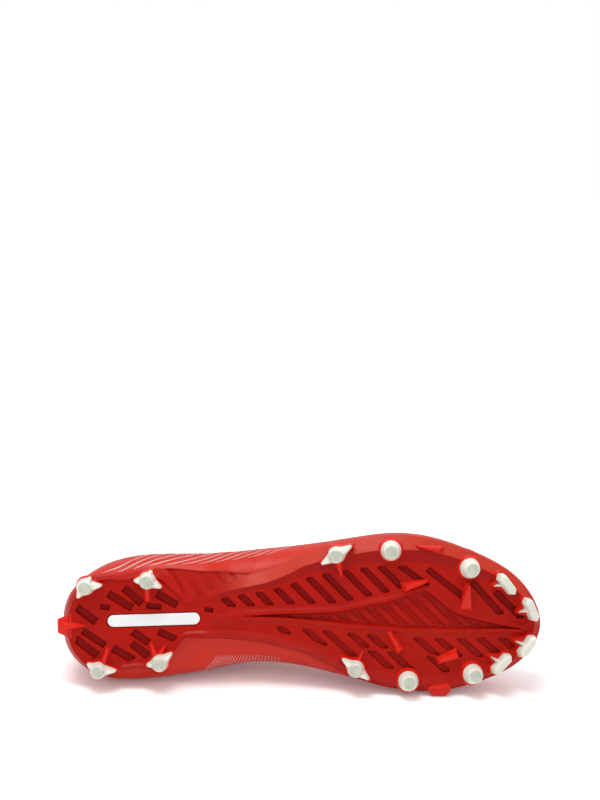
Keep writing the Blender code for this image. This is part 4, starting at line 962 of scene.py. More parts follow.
def ring_reach(points, ring, window):
    """Distance in plan to a closed ring of points, for points near it; far ones get the window."""
    out = np.full(len(points), window)
    ahead = np.roll(ring, -1, axis=0)
    for a, b in zip(ring, ahead):
        box = np.abs(points - (a + b) / 2).max(1) < window + np.linalg.norm(b - a)
        near = points[box]
        way = b - a
        t = np.clip(((near - a) @ way) / (way @ way), 0, 1)
        out[box] = np.minimum(out[box], np.linalg.norm(near - a - t[:, None] * way, axis=1))
    return out


def neck_ridge(x, y):
    """The pool's two ridges run together towards the badge: 1 on the crest, 0 beside it."""
    start, stop = NECK_START * LENGTH, POOL_ENDS[0]
    share = np.clip((x - start) / (stop - start), 0, 1)
    middle = (pool_lateral(POOL[0][0]) + pool_medial(POOL[0][0])) / 2 * BALL_WIDTH
    half = NECK_WIDTH + (RIDGE_WIDTH + NECK_SPREAD - NECK_WIDTH) * share
    off = np.abs(y - middle * share)
    groove = 1 - NECK_GROOVE * (1 - ramp(off, 0, NECK_GROOVE_WIDTH)) * ramp(share, 0.25, 1)
    crest = np.clip((half - off) / (0.55 * half), 0, 1) * groove
    return np.where((x > start) & (x <= stop), crest, 0.0)


def face_relief(points):
    """How far each plan point lies into the plate's floor, negative where proud, and how much painted shade
    it gets: in the pool and its low bands, in the slots, in the badge's seat and on the rim's inward facet.
    """
    x, y = points[:, 0], points[:, 1]
    rim, band = (ring_reach(points, ring, RELIEF_WINDOW) for ring in (FACE_RIM, FACE_BAND))
    low, high = band_side(x, -1), band_side(x, 1)
    first, last = FACE_BAND[:, 0].min(), FACE_BAND[:, 0].max()
    inside = (y > low) & (y < high) & (x > first) & (x < last)
    share = np.where(inside, 1.0, rim / np.maximum(rim + band, 1e-9))
    relief = -RIM_PROUD * (1 - np.clip(share / FACET_END, 0, 1))
    pool = pool_reach(x, y)
    crest = np.clip((RIDGE_WIDTH - pool) / (RIDGE_WIDTH - RIDGE_CREST), 0, 1)
    relief = relief - RIDGE_PROUD * np.maximum(crest, neck_ridge(x, y)) * (pool > 0)
    drop = ramp(-pool, 0, POOL_DRAFT)
    slant = np.abs(((x - y) / POOL_BAND_PITCH) % 1 - 0.5) * 2
    low_band = ramp(slant, *BAND_EDGE)
    wave = POOL_BAND_DEPTH * (low_band - 0.5) * ramp(-pool, POOL_DRAFT, POOL_BAND_START)
    in_pool = pool <= 0
    relief = np.where(in_pool, -RIDGE_PROUD + (RIDGE_PROUD + POOL_DEPTH) * drop + wave, relief)
    # Painted shade on the rim's inward facet, strong on the lateral side, and in the pool, more on its low
    # bands
    facet = np.where(y < 0, LATERAL_RIM_SHADE, MEDIAL_RIM_SHADE) * (share < FACET_END)
    facet = facet * ramp(x, BADGE_END, FACET_FULL)
    painted_shade = np.where(in_pool, (POOL_SHADE + POOL_BAND_SHADE * low_band) * drop, facet)
    for corners in SLOTS:
        middle = corners.mean(0)
        reach = np.abs(corners - middle).max() + 2 * MM
        near = np.abs(points - middle).max(1) < reach
        inner = moved_in(corners, SLOT_CORNER)
        d = polygon_reach(points[near], inner) - SLOT_CORNER
        down = ramp(-d, -SLOT_LIP, SLOT_DRAFT)
        relief[near] = relief[near] + (SLOT_DEPTH - relief[near]) * down
        # Painted shade in the slots, weaker in the medial forefoot slots, which face the light
        tint = MEDIAL_SLOT_SHADE if middle[1] > 0 and middle[0] > BADGE_END else 1
        painted_shade[near] = np.maximum(painted_shade[near], down * tint)
    # The badge's seat is recessed and gets painted shade
    d = capsule_reach(points, GAP)
    down = ramp(-d, -GAP, 0.1 * MM)
    relief = relief + (BADGE_RECESS - relief) * down
    painted_shade = np.maximum(painted_shade, BADGE_SEAT_SHADE * down)
    return relief, painted_shade


def face_net():
    """The plate's face as a fine net of triangles: its plan, and the place of each rim point in it."""
    plan = [FACE_RIM + (FACE_BAND - FACE_RIM) * share for share in RIM_ROWS]
    across = np.arange(-0.2 * BALL_WIDTH, 0.1 * BALL_WIDTH, BAND_STEP)
    for turns in np.arange(0.0, (POOL_ENDS[1] + 0.2 * BALL_WIDTH) / POOL_BAND_PITCH):
        for edge in (BAND_EDGE[0], 0.5, BAND_EDGE[1]):
            for part in (0.5 - edge / 2, 0.5 + edge / 2):
                line = np.column_stack([(turns + part) * POOL_BAND_PITCH + across, across])
                plan.append(line[pool_reach(line[:, 0], line[:, 1]) < -BAND_CLEAR])
    plan.append(FACE_BAND + INWARD * BAND_INSET)
    x = np.arange(POOL_ENDS[0] - RIDGE_WIDTH, POOL_ENDS[1] + RIDGE_WIDTH, POOL_STEP)
    for offset in POOL_ROWS:
        for side in (-1, 1):
            line = np.column_stack([x, pool_side(x, side, offset * MM)])
            d = pool_reach(line[:, 0], line[:, 1])
            plan.append(line[np.abs(d - offset * MM) < ROW_SLACK])
    for corners in SLOTS:
        plan += [rounded(corners, SLOT_CORNER, offset * MM, SLOT_STEP) for offset in SLOT_RINGS]
    plan += [capsule_ring(offset * MM) for offset in BADGE_RINGS]
    (low_x, low_y), (high_x, high_y) = FACE_RIM.min(0), FACE_RIM.max(0)
    grid = np.meshgrid(np.arange(low_x, high_x, NET_STEP), np.arange(low_y, high_y, NET_STEP))
    grid = np.column_stack([line.ravel() for line in grid])
    clear = pool_reach(grid[:, 0], grid[:, 1]) >= POOL_CLEAR
    for corners in SLOTS:
        clear &= np.abs(polygon_reach(grid, corners)) >= SLOT_CLEAR
    plan.append(grid[clear])
    inside = [FACE_RIM]
    lateral, medial = FACE_RIM[: RIBS_PER_SIDE + 1], FACE_RIM[RIBS_PER_SIDE:][::-1]
    for points in plan:
        low = np.interp(points[:, 0], lateral[:, 0], lateral[:, 1])
        high = np.interp(points[:, 0], medial[:, 0], medial[:, 1])
        keep = (points[:, 1] > low + RIM_MARGIN) & (points[:, 1] < high - RIM_MARGIN)
        keep &= (points[:, 0] > lateral[0, 0] + END_MARGIN) & (points[:, 0] < lateral[-1, 0] - END_MARGIN)
        inside.append(points[keep])
    cloud = np.concatenate(inside)
    edges = [(k, (k + 1) % RIBS) for k in range(RIBS)]
    made = delaunay_2d_cdt([Vector(p) for p in cloud], edges, [], 1, MERGE_REACH)
    where = np.array([p[:] for p in made[0]])
    rim = {}
    for k, sources in enumerate(made[3]):
        for source in sources:
            if source < RIBS:
                rim[source] = k
    triangles = np.array(made[2])
    a, b, c = (where[triangles[:, k]] for k in range(3))
    area = (b[:, 0] - a[:, 0]) * (c[:, 1] - a[:, 1]) - (b[:, 1] - a[:, 1]) * (c[:, 0] - a[:, 0])
    triangles[area > 0] = triangles[area > 0][:, ::-1]
    return where, triangles, np.array([rim[k] for k in range(RIBS)])


# Lateral waist panel: it lies above a fold that leaves the rim at the notch and meets the lip further on.
# columns: along; share of the side at which it folds
SIDE_FOLD = (
    (0.000, 0.50), (0.200, 0.50), (0.262, 0.06), (0.300, 0.16), (0.340, 0.42), (0.375, 0.68), (0.405, 0.90),
    (0.430, 0.97), (1.000, 0.97),
)
FOLD_PROUD = 0.5 * MM
# Painted light: the plate's lateral side, from the waist forward, is mixed towards a paler red as if lit
# from above
SIDE_PAINTED_LIGHT = 0.55
PAINTED_LIGHT_FROM = (0.30, 0.42)
FOLD_STEPS = (0.06, 0.25, 0.5, 0.75, 1.0)
PANEL_STEPS = 13
PANEL_START = 0.270
PANEL_SLANT = 0.052
PANEL_END = 0.402
PANEL_DEPTH = 1.0 * MM
# Grooves of the panel, by their place along at its top edge
PANEL_GROOVES = (0.230, 0.260, 0.292, 0.325, 0.356)
GROOVE_LEAN = 0.036
GROOVE_WIDTH = 3.0 * MM
GROOVE_DEPTH = 0.8 * MM
# Painted shade in the panel's grooves
GROOVE_SHADE = 0.6
(side_fold,) = columns(SIDE_FOLD)


def panel_detail(along, share, fold):
    """How far the lateral waist panel lies in at a share of the plate's side, and how much painted shade its
    grooves get.
    """
    start = PANEL_START - PANEL_SLANT * share
    mask = ramp(along, start, start + 0.005) * (1 - ramp(along, PANEL_END - 0.012, PANEL_END))
    mask = mask * ramp(share - fold, 0.0, 0.05) * (1 - ramp(share, 0.93, 0.99)) * ~IS_MEDIAL
    groove = np.zeros(RIBS)
    for top in PANEL_GROOVES:
        off = (along - (top + GROOVE_LEAN * (1 - share))) * LENGTH
        groove = np.maximum(groove, np.clip(1 - off / GROOVE_WIDTH, 0, 1) * ramp(off, -1.4 * MM, 0.2 * MM))
    return mask * (PANEL_DEPTH + GROOVE_DEPTH * groove), GROOVE_SHADE * mask * groove


def build_plate(material):
    """The plate: a face in relief, a slanted side, a thin lip up the upper, and its hidden top."""
    where, triangles, rim = face_net()
    relief, painted_shade = face_relief(where)
    relief[rim], painted_shade[rim] = -RIM_PROUD, 0
    face = np.column_stack([where, floor_height(where[:, 0]) + relief])
    points, marks, painted_light_shares, faces = [face], [painted_shade], [np.zeros(len(face))], [triangles.tolist()]
    count = len(face)
    last = rim

    def off_upper(level, gap):
        return RINGS[level] + NORMALS[level] * gap

    def add_ring(ring, mark=0.0, painted_light_share=0.0):
        nonlocal count, last
        here = np.arange(count, count + RIBS)
        points.append(ring)
        marks.append(np.zeros(RIBS) + mark)
        painted_light_shares.append(np.zeros(RIBS) + painted_light_share)
        count += RIBS
        turn = np.roll(np.arange(RIBS), -1)
        faces.append(np.stack([last, last[turn], here[turn], here], axis=1).tolist())
        last = here

    start = face[rim]
    lip = off_upper(EDGE_LEVEL, GAP + PLATE_LIP)
    slope = units(np.cross(np.roll(start, -1, axis=0) - start, lip - start))
    fold = side_fold(SHARE)
    # Painted light on the plate's lateral side from the waist forward
    painted_light = SIDE_PAINTED_LIGHT * ramp(SHARE, *PAINTED_LIGHT_FROM) * ~IS_MEDIAL
    steps = [fold * t for t in FOLD_STEPS]
    steps += [fold + (1 - fold) * t for t in np.linspace(0, 1, PANEL_STEPS + 1)[1:-1]]
    for share in steps:
        depth, tint = panel_detail(start[:, 0] / LENGTH, share, fold)
        bulge = np.where(share <= fold, share / fold, (1 - share) / np.maximum(1 - fold, 0.02))
        ring = start + (lip - start) * share[:, None] + slope * (FOLD_PROUD * bulge - depth)[:, None]
        add_ring(ring, tint, painted_light)
    add_ring(lip, painted_light_share=painted_light)
    add_ring(off_upper(EDGE_LEVEL, GAP + PLATE_LIP * 0.5) + np.array([0, 0, 0.3 * MM]))
    add_ring(off_upper(EDGE_LEVEL, GAP))
    add_ring(off_upper(1, GAP))
    add_ring(RINGS[0] - np.array([0, 0, GAP]))
    wall = np.column_stack([SOLE_OPENING + INWARD * GAP, RINGS[0][:, 2]])
    add_ring(wall - np.array([0, 0, GAP]))
    add_ring(wall + np.array([0, 0, WALL - PLUG_DROP]))
    every = [f for group in faces for f in group] + ladder_cap(int(last[0]))
    return piece(
        "sole_plate",
        np.concatenate(points),
        every,
        [material],
        node="outsole_plate",
        slot="red_plate",
        smooth=30,
        marks={"painted_shade": np.concatenate(marks), "painted_light_share": np.concatenate(painted_light_shares)},
    )


# Studs and lugs


def stud_frame(share, across):
    """Where a stud grows from the plate's floor, and its axes: forward, medial, down and away."""
    x = share * LENGTH
    slope = math.atan2(floor_height(x + MM) - floor_height(x - MM), 2 * MM)
    foot = np.array([x, across * BALL_WIDTH, floor_height(x)])
    ahead = np.array([math.cos(slope), 0, math.sin(slope)])
    down = np.array([math.sin(slope), 0, -math.cos(slope)])
    return foot, ahead, np.array([0, 1, 0]), down


def placed(axes, plan, depth):
    foot, ahead, medial, down = axes
    depth = np.broadcast_to(depth, (len(plan),))
    return foot + plan[:, :1] * ahead + plan[:, 1:] * medial + depth[:, None] * down


ANGLES = 2 * math.pi * np.arange(STUD_STEPS) / STUD_STEPS
SPOKES = np.column_stack([np.cos(ANGLES), np.sin(ANGLES)])
BLADE_SQUARENESS = 2.6
BLADE_FULLNESS = 1.12
FIN_MERGING = 16


def core_radius(kind, heading, grown=1.0):
    """Radius of a stud's middle in every direction, at its base."""
    if kind == "round":
        return np.full(STUD_STEPS, ROUND_BASE_RADIUS * grown)
    if kind == "core":
        return np.full(STUD_STEPS, CORE_BASE_RADIUS * grown)
    turn, power = ANGLES - math.radians(heading), BLADE_SQUARENESS
    long, wide = BLADE_LENGTH / 2 * grown, BLADE_WIDTH / 2 * grown * BLADE_FULLNESS
    return (np.abs(np.cos(turn) / long) ** power + np.abs(np.sin(turn) / wide) ** power) ** (-1 / power)


def fin_radius(turn, reach, grown=1.0):
    """Radius in every direction of one fin: a wedge from the middle to a narrow end."""
    off = (ANGLES - math.radians(turn) + math.pi) % (2 * math.pi) - math.pi
    long, near, far = reach * CORE_BASE_RADIUS * grown, FIN_ROOT_WIDTH / 2 * grown, FIN_END_WIDTH / 2 * grown
    lean = (far - near) / long
    flank = near / np.maximum(np.abs(np.sin(off)) - lean * np.cos(off), 1e-6)
    end = long / np.maximum(np.cos(off), 1e-3)
    return np.where(np.cos(off) > 0.05, np.minimum(flank, end), 0.0)


def star_radius(row, grown=1.0):
    """A stud's outline with its fins, with soft concave corners."""
    _, kind, _, _, heading, fins = row
    total = core_radius(kind, heading, grown) ** FIN_MERGING
    for turn, reach in fins:
        total = total + fin_radius(turn, reach, grown) ** FIN_MERGING
    radius = total ** (1 / FIN_MERGING)
    return (np.roll(radius, 1) + 2 * radius + np.roll(radius, -1)) / 4


def fanned_faces(rows):
    """Faces of a net of stud rings, with a fan at each end round the two points that follow the rings."""
    faces = net_faces(rows, STUD_STEPS).tolist()
    first, base = rows * STUD_STEPS, (rows - 1) * STUD_STEPS
    for k in range(STUD_STEPS):
        d = (k + 1) % STUD_STEPS
        faces += [(first, d, k), (first + 1, base + k, base + d)]
    return faces


def loft(axes, stack):
    """A closed solid of rings given as (radii, depth), from its first ring to its last, both capped."""
    points = [placed(axes, SPOKES * radius[:, None], depth) for radius, depth in stack]
    for depth in (stack[0][1].mean(), stack[-1][1].mean()):
        points.append(placed(axes, np.zeros((1, 2)), depth))
    return np.concatenate(points), fanned_faces(len(stack))


ROOT_LENGTH = STUD_HEIGHT - TIP_HEIGHT
TIP_RINGS = (0.15, 0.30, 0.42, 0.52, 0.60, 0.67, 0.73, 0.78, 0.83, 0.87, 0.905, 0.935, 0.96, 0.98, 1.0)
DISC_SHARE = 0.88
FIN_CREST = 0.90
FIN_FALL = 0.46
FIN_BEVEL = 0.50
FIN_FLANK_POWER = 0.75
FIN_END_BEVEL = 1.1 * MM
FIN_END_POWER = 0.6
CORE_POWERS = (1.4, 0.85)
TIP_MERGING = 9


def core_radii(kind):
    """Radius of a stud's middle at its base, and of the flat disc at its end."""
    if kind == "round":
        return ROUND_BASE_RADIUS, ROUND_TIP_RADIUS * DISC_SHARE
    return CORE_BASE_RADIUS, CORE_TIP_RADIUS * DISC_SHARE


def tip_height(row, plan, high):
    """Height of a tip over its foot: a core with a flat end, and fins whose crests fall to their ends."""
    out = np.linalg.norm(plan, axis=1)
    base, tip = core_radii(row[1])
    over = np.clip((out - tip) / (base - tip), 0, 1)
    heights = [high * (1 - over ** CORE_POWERS[0]) ** CORE_POWERS[1]]
    for turn, reach in row[5]:
        way, aside = headed(turn)
        along, off = plan @ way, np.abs(plan @ aside)
        long = reach * CORE_BASE_RADIUS
        share = np.clip(along / long, 0, 1)
        half = (FIN_ROOT_WIDTH + (FIN_END_WIDTH - FIN_ROOT_WIDTH) * share) / 2
        crest = high * (FIN_CREST + (FIN_FALL - FIN_CREST) * share)
        flank = np.clip((half - off) / (half * FIN_BEVEL), 0, 1) ** FIN_FLANK_POWER
        end = np.clip((long - along) / FIN_END_BEVEL, 0, 1) ** FIN_END_POWER
        heights.append(np.where(along > 0, crest * flank * end, 0))
    total = sum((h / high) ** TIP_MERGING for h in heights)
    return np.minimum(total ** (1 / TIP_MERGING), 1) * high


def star_tip(row):
    """Points, faces and wear of a tip that is round or a star, as a height over a fan of rings."""
    axes = stud_frame(row[2], row[3])
    foot = ROOT_LENGTH + GAP
    high = STUD_HEIGHT - foot
    outline = star_radius(row)
    tip = core_radii(row[1])[1]
    points, worn = [], []
    for share in TIP_RINGS:
        radius = outline * share
        plan = SPOKES * radius[:, None]
        points.append(placed(axes, plan, foot + tip_height(row, plan, high)))
        worn.append(1 - ramp(radius, 0.90 * tip, 1.04 * tip))
    points.append(placed(axes, np.zeros((2, 2)), np.array([STUD_HEIGHT, foot])))
    worn.append(np.array([1.0, 0.0]))
    return np.concatenate(points), fanned_faces(len(TIP_RINGS)), np.concatenate(worn)


def hexagon(length, width, heading, chamfer):
    way, aside = headed(heading)
    inner = length / 2 - chamfer
    corners = ((length / 2, 0), (inner, width / 2), (-inner, width / 2))
    corners += ((-length / 2, 0), (-inner, -width / 2), (inner, -width / 2))
    return np.array([way * u + aside * v for u, v in corners])


BLADE_SWELL = 0.6 * MM
# columns: length and width of a layer as shares of the blade's; its share of the way up the tip
BLADE_LAYERS = ((1.0, 1.0, 0.0), (0.94, 0.90, 0.72), (0.78, 0.62, 1.0))
BLADE_CHAMFER = 0.45 * BLADE_WIDTH
TIP_EDGE = 0.45 * MM
SPIKE_ROOT = 2.0 * MM
SPIKE_END = 0.35 * MM
SPIKE_EDGE = 0.18 * MM


def blade_tip(row):
    """Points, faces and wear of a toe blade: a long six-sided block and one short spike at its side."""
    heading, fins = row[4], row[5]
    axes = stud_frame(row[2], row[3])
    foot = ROOT_LENGTH + GAP
    high = STUD_HEIGHT - foot
    cloud = []
    for long, wide, rise in BLADE_LAYERS:
        shape = hexagon(BLADE_LENGTH * long, (BLADE_WIDTH + BLADE_SWELL) * wide, heading, BLADE_CHAMFER)
        cloud.append(placed(axes, shape, foot + high * rise))
    pile = Pile()
    pile.add(*softened_hull(np.concatenate(cloud), TIP_EDGE))
    for turn, reach in fins:
        way, aside = headed(turn)
        near, out = aside * SPIKE_ROOT, way * reach * CORE_BASE_RADIUS * 0.92
        low = np.array([near, -near, out + aside * SPIKE_END, out - aside * SPIKE_END])
        top = np.array([near * 0.35, -near * 0.35])
        spike = [placed(axes, low, foot), placed(axes, top, foot + high * 0.86)]
        spike.append(placed(axes, (out * 0.94)[None, :], foot + high * 0.34))
        pile.add(*softened_hull(np.concatenate(spike), SPIKE_EDGE))
    points = np.concatenate(pile.points)
    depth = (points - axes[0]) @ axes[3]
    return points, pile.faces, 0.35 * ramp(depth, STUD_HEIGHT - 0.25 * MM, STUD_HEIGHT - 0.05 * MM)


def build_tip(row, material):
    """The white tip of one stud."""
    points, faces, worn = blade_tip(row) if row[1] == "blade" else star_tip(row)
    name, node = "tip_" + row[0], "stud_" + row[0]
    return piece(name, points, faces, [material], node, "white_tip", smooth=34, marks={"worn": worn})


# columns: height of a ring of the foot over the floor; its share of the flare
FOOT_RINGS = (
    (ROOT_LENGTH, -0.05), (ROOT_LENGTH - 0.2 * MM, 0.0), (0.7 * ROOT_LENGTH, 0.12),
    (0.4 * ROOT_LENGTH, 0.38), (0.15 * ROOT_LENGTH, 0.75), (-0.3 * MM, 1.05),
)
FOOT_GROWTH = 1.02
ROUND_FLARE = 1.24
STAR_FLARE = 1.14
LEAST_FLARE = 0.9 * MM


def stud_feet(pile):
    """The red foot of every stud, flaring into the plate."""
    for row in STUDS:
        grown = ROUND_FLARE if row[1] == "round" else STAR_FLARE
        top, low = star_radius(row, FOOT_GROWTH), star_radius(row, grown)
        flare = np.maximum(low, top + LEAST_FLARE)
        rings = [(top + (flare - top) * share, depth) for depth, share in FOOT_RINGS]
        rings.append((flare * 0.8, -ROOT_DEPTH))
        stack = [(radius, np.full(STUD_STEPS, depth)) for radius, depth in rings]
        pile.add(*loft(stud_frame(row[2], row[3]), stack))


def softened_hull(points, radius):
    """The smallest convex solid round the points, with small round edges."""
    shape = bmesh.new()
    for p in points:
        shape.verts.new(tuple(p))
    made = bmesh.ops.convex_hull(shape, input=shape.verts)
    spare = set(made["geom_interior"] + made["geom_unused"])
    bmesh.ops.delete(shape, geom=[v for v in spare if isinstance(v, bmesh.types.BMVert)], context="VERTS")
    bmesh.ops.dissolve_limit(shape, angle_limit=math.radians(2), verts=shape.verts, edges=shape.edges)
    edges = list(shape.edges)
    bmesh.ops.bevel(
        shape, geom=edges, offset=radius, segments=3, profile=0.5, affect="EDGES", clamp_overlap=True
    )
    bmesh.ops.recalc_face_normals(shape, faces=shape.faces)
    shape.verts.index_update()
    verts = np.array([v.co[:] for v in shape.verts])
    faces = [[v.index for v in f.verts] for f in shape.faces]
    shape.free()
    return verts, faces


def tapered_plan(length, start, end, heading):
    """The four corners of a bar that is as wide as start at one end and as end at the other."""
    way, aside = headed(heading)
    corners = ((-1, -start), (-1, start), (1, end), (1, -end))
    return np.array([way * length * u / 2 + aside * v / 2 for u, v in corners])


def lug_points(row):
    """A lug in three layers: its root in the floor, its foot, and a narrow crest that falls to one end."""
    share, across, heading, length, width, height, crest = row[1:8]
    wide_first, high_first, wide_last, high_last = row[8:]
    axes = stud_frame(share, across)
    long, wide, high = length * STUD_HEIGHT, width * STUD_HEIGHT, height * STUD_HEIGHT
    first, last = wide * wide_first, wide * wide_last
    top = tapered_plan(long * crest, first * 0.36, last * 0.36, heading)
    depths = high * np.array([[high_first], [high_first], [high_last], [high_last]])
    foot, ahead, medial, down = axes
    return np.concatenate(
        [
            placed(axes, tapered_plan(long, first, last, heading), -ROOT_DEPTH),
            placed(axes, tapered_plan(long, first, last, heading), 0.1 * MM),
            foot + top[:, :1] * ahead + top[:, 1:] * medial + depths * down,
        ]
    )


def heel_nub_points():
    y = HEEL_TIP[1] * BALL_WIDTH
    root = HEEL_TIP[0] * LENGTH + HEEL_NUB_ROOT
    low = floor_height(0) - RIM_PROUD
    half = HEEL_NUB_WIDTH / 2
    back = []
    rows = ((low, 0.35, 0.8), (low + 0.4 * HEEL_NUB_HEIGHT, 0.0, 0.7), (low + HEEL_NUB_HEIGHT, 0.8, 0.5))
    for z, out, share in rows:
        for side in (-1, 1):
            back.append((out * HEEL_TIP[0] * LENGTH, y + side * half * share, z))
            back.append((root, y + side * half * 1.35, min(z, low + 0.45 * HEEL_NUB_HEIGHT)))
    return np.array(back)


def side_nub_points():
    share, reach, length, width, crest = SIDE_NUB
    x, out = share * LENGTH, reach * BALL_WIDTH
    low, high = floor_height(x) - 0.4 * RIM_PROUD, floor_height(x) + 0.8 * PLATE_FLOOR
    half = length / 2
    inner, middle = out - width, out - width * 0.45
    points = [(x + s * half, y, z) for s in (-1, 1) for y in (inner, middle) for z in (low, high)]
    points += [(x + s * half * crest, out, z) for s in (-1, 1) for z in (low + 0.4 * MM, high - 1.2 * MM)]
    return np.array(points)


LUG_EDGE = 0.20 * MM


def build_lugs(material):
    """Stud feet, fins, gussets and nubs, which are moulded on the plate."""
    pile = Pile()
    stud_feet(pile)
    clouds = [lug_points(row) for row in LUGS] + [heel_nub_points(), side_nub_points()]
    for cloud in clouds:
        pile.add(*softened_hull(cloud, LUG_EDGE))
    return pile.make("sole_lugs", material, slot="red_plate", smooth=34)


# columns: offset of a ring from the bar's outline in millimetres; its share of the bar's thickness
BAR_RINGS = ((0.0, 0.0), (0.0, 0.72), (-0.08, 0.88), (-0.22, 0.97), (-0.45, 1.0))


def build_badge(material):
    """The plain white bar let into the heel, with a soft edge."""
    rings = []
    for offset, rise in BAR_RINGS:
        ring = capsule_ring(offset * MM)
        height = floor_height(ring[:, 0]) + BADGE_RECESS - GAP - BADGE_THICK * rise
        rings.append(np.column_stack([ring, height]))
    count = len(rings[0])
    faces = net_faces(len(rings), count).tolist()
    last = (len(rings) - 1) * count
    faces = [f[::-1] for f in faces] + [tuple(range(count)), tuple(range(last + count - 1, last - 1, -1))]
    return piece("heel_bar", np.concatenate(rings), faces, [material], node="heel_badge", slot="white_badge")


# The upper and what is in it


def on_skin(along, up, side, lift=0.0, overlays=True):
    """Points of the upper's outside: share along, share up its side, which side, and height over it."""
    half = SHARE[: RIBS_PER_SIDE + 1]
    rib = np.interp(along, half, np.arange(RIBS_PER_SIDE + 1))
    if side > 0:
        back = SHARE[np.arange(RIBS, RIBS_PER_SIDE - 1, -1) % RIBS]
        rib = RIBS - np.interp(along, back, np.arange(RIBS_PER_SIDE + 1))
    level = np.interp(up, UP_SHARE, np.arange(len(RINGS)))
    r0, l0 = np.floor(rib).astype(int), np.clip(np.floor(level).astype(int), 0, len(RINGS) - 2)
    u, v = (rib - r0)[:, None], (level - l0)[:, None]
    r1 = (r0 + 1) % RIBS
    r0 = r0 % RIBS
    out = []
    for net in (SKIN if overlays else RINGS, NORMALS):
        near = net[l0, r0] * (1 - u) + net[l0, r1] * u
        far = net[l0 + 1, r0] * (1 - u) + net[l0 + 1, r1] * u
        out.append(near * (1 - v) + far * v)
    normal = units(out[1])
    return out[0] + normal * np.asarray(lift).reshape(-1, 1), normal


# Soft creases: along; share up the side; length along the shoe; reach up the side; depth
CREASES = (
    (0.742, 0.62, 0.012, 0.42, 0.9 * MM),
    (0.775, 0.58, 0.010, 0.40, 0.7 * MM),
    (0.712, 0.60, 0.009, 0.30, 0.5 * MM),
    (0.300, 0.70, 0.014, 0.30, 0.7 * MM),
    (0.335, 0.62, 0.011, 0.26, 0.5 * MM),
)
EYESTAY_UP = 0.70
EYESTAY_PROUD = 0.55 * MM
COUNTER_PROUD = 0.45 * MM
TOE_CAP_PROUD = 0.4 * MM
COLLAR_PROUD = 0.9 * MM
COUNTER_FALL = 2.1
COUNTER_START = 0.06


def skin_detail():
    """How far the skin stands in or out: overlays with stepped edges, a padded collar and soft creases."""
    up, along = UP_SHARE[:, None], SHARE[None, :]
    out = np.zeros((len(RINGS), RIBS))
    throat = ramp(along, 0.350, 0.362) * (1 - ramp(along, 0.70, 0.72))
    out += EYESTAY_PROUD * ramp(up, EYESTAY_UP - 0.022, EYESTAY_UP + 0.012) * throat
    over_lip = ramp(up, -0.22, -0.16)
    counter_edge = 0.62 - COUNTER_FALL * np.maximum(along - COUNTER_START, 0)
    counter = (1 - ramp(up, counter_edge - 0.02, counter_edge + 0.02)) * (along < 0.40)
    out += COUNTER_PROUD * counter * over_lip
    toe_edge = 0.845 + 0.05 * np.clip(up, 0, 1)
    toe_cap = ramp(along, toe_edge - 0.004, toe_edge + 0.004) * (1 - ramp(up, 0.55, 0.60))
    out += TOE_CAP_PROUD * toe_cap * over_lip
    collar = 1 - ramp(along, 0.30, 0.36)
    out += COLLAR_PROUD * np.sin(np.clip((up - 0.62) / 0.38, 0, 1) * math.pi) * collar
    for place, middle, long, tall, depth in CREASES:
        bow = place + 0.05 * (up - middle) ** 2
        off = (along - bow) / long
        trough = np.exp(-(off**2)) - 0.6 * np.exp(-((off - 1.7) ** 2))
        out -= depth * trough * np.exp(-(((up - middle) / tall) ** 2)) * (up > 0)
    return out * ramp(up, -0.25, -0.12)


# Overlays fade out where the skin rests on the floor
OFF_FLOOR = ramp(RINGS @ np.array(LYING[2][:3]) + LYING[2][3], 0.2 * MM, 5 * MM)
SKIN = RINGS + NORMALS * (skin_detail() * OFF_FLOOR)[:, :, None]


def build_upper(skin, lining):
    """One hollow skin: outer net, inner net one wall inside it, and the two rims that join them."""
    inner = RINGS - NORMALS * wall_thickness()[:, :, None]
    levels = len(RINGS)
    points = np.concatenate([SKIN.reshape(-1, 3), inner.reshape(-1, 3)])
    outside = net_faces(levels, RIBS)
    inside = net_faces(levels, RIBS, levels * RIBS)[:, ::-1]
    k = np.arange(RIBS)
    d = (k + 1) % RIBS
    start, last = levels * RIBS, (levels - 1) * RIBS
    low = np.stack([start + k, start + d, d, k], axis=1)
    high = np.stack([last + k, last + d, start + last + d, start + last + k], axis=1)
    faces = np.concatenate([outside, inside, low, high])
    index = np.zeros(len(faces))
    index[len(outside) : len(outside) + len(inside)] = 1
    return piece(
        "upper_skin", points, faces, [skin, lining], node="upper", slot="red_skin", smooth=50, inner=index
    )


INSOLE_DISH = 0.6 * MM
# columns: share of the way from the insole's edge to its middle line; share of INSOLE_DISH
INSOLE_RINGS = ((0.0, 0.0), (0.3, 0.5), (0.6, 0.9), (0.9, 1.0))


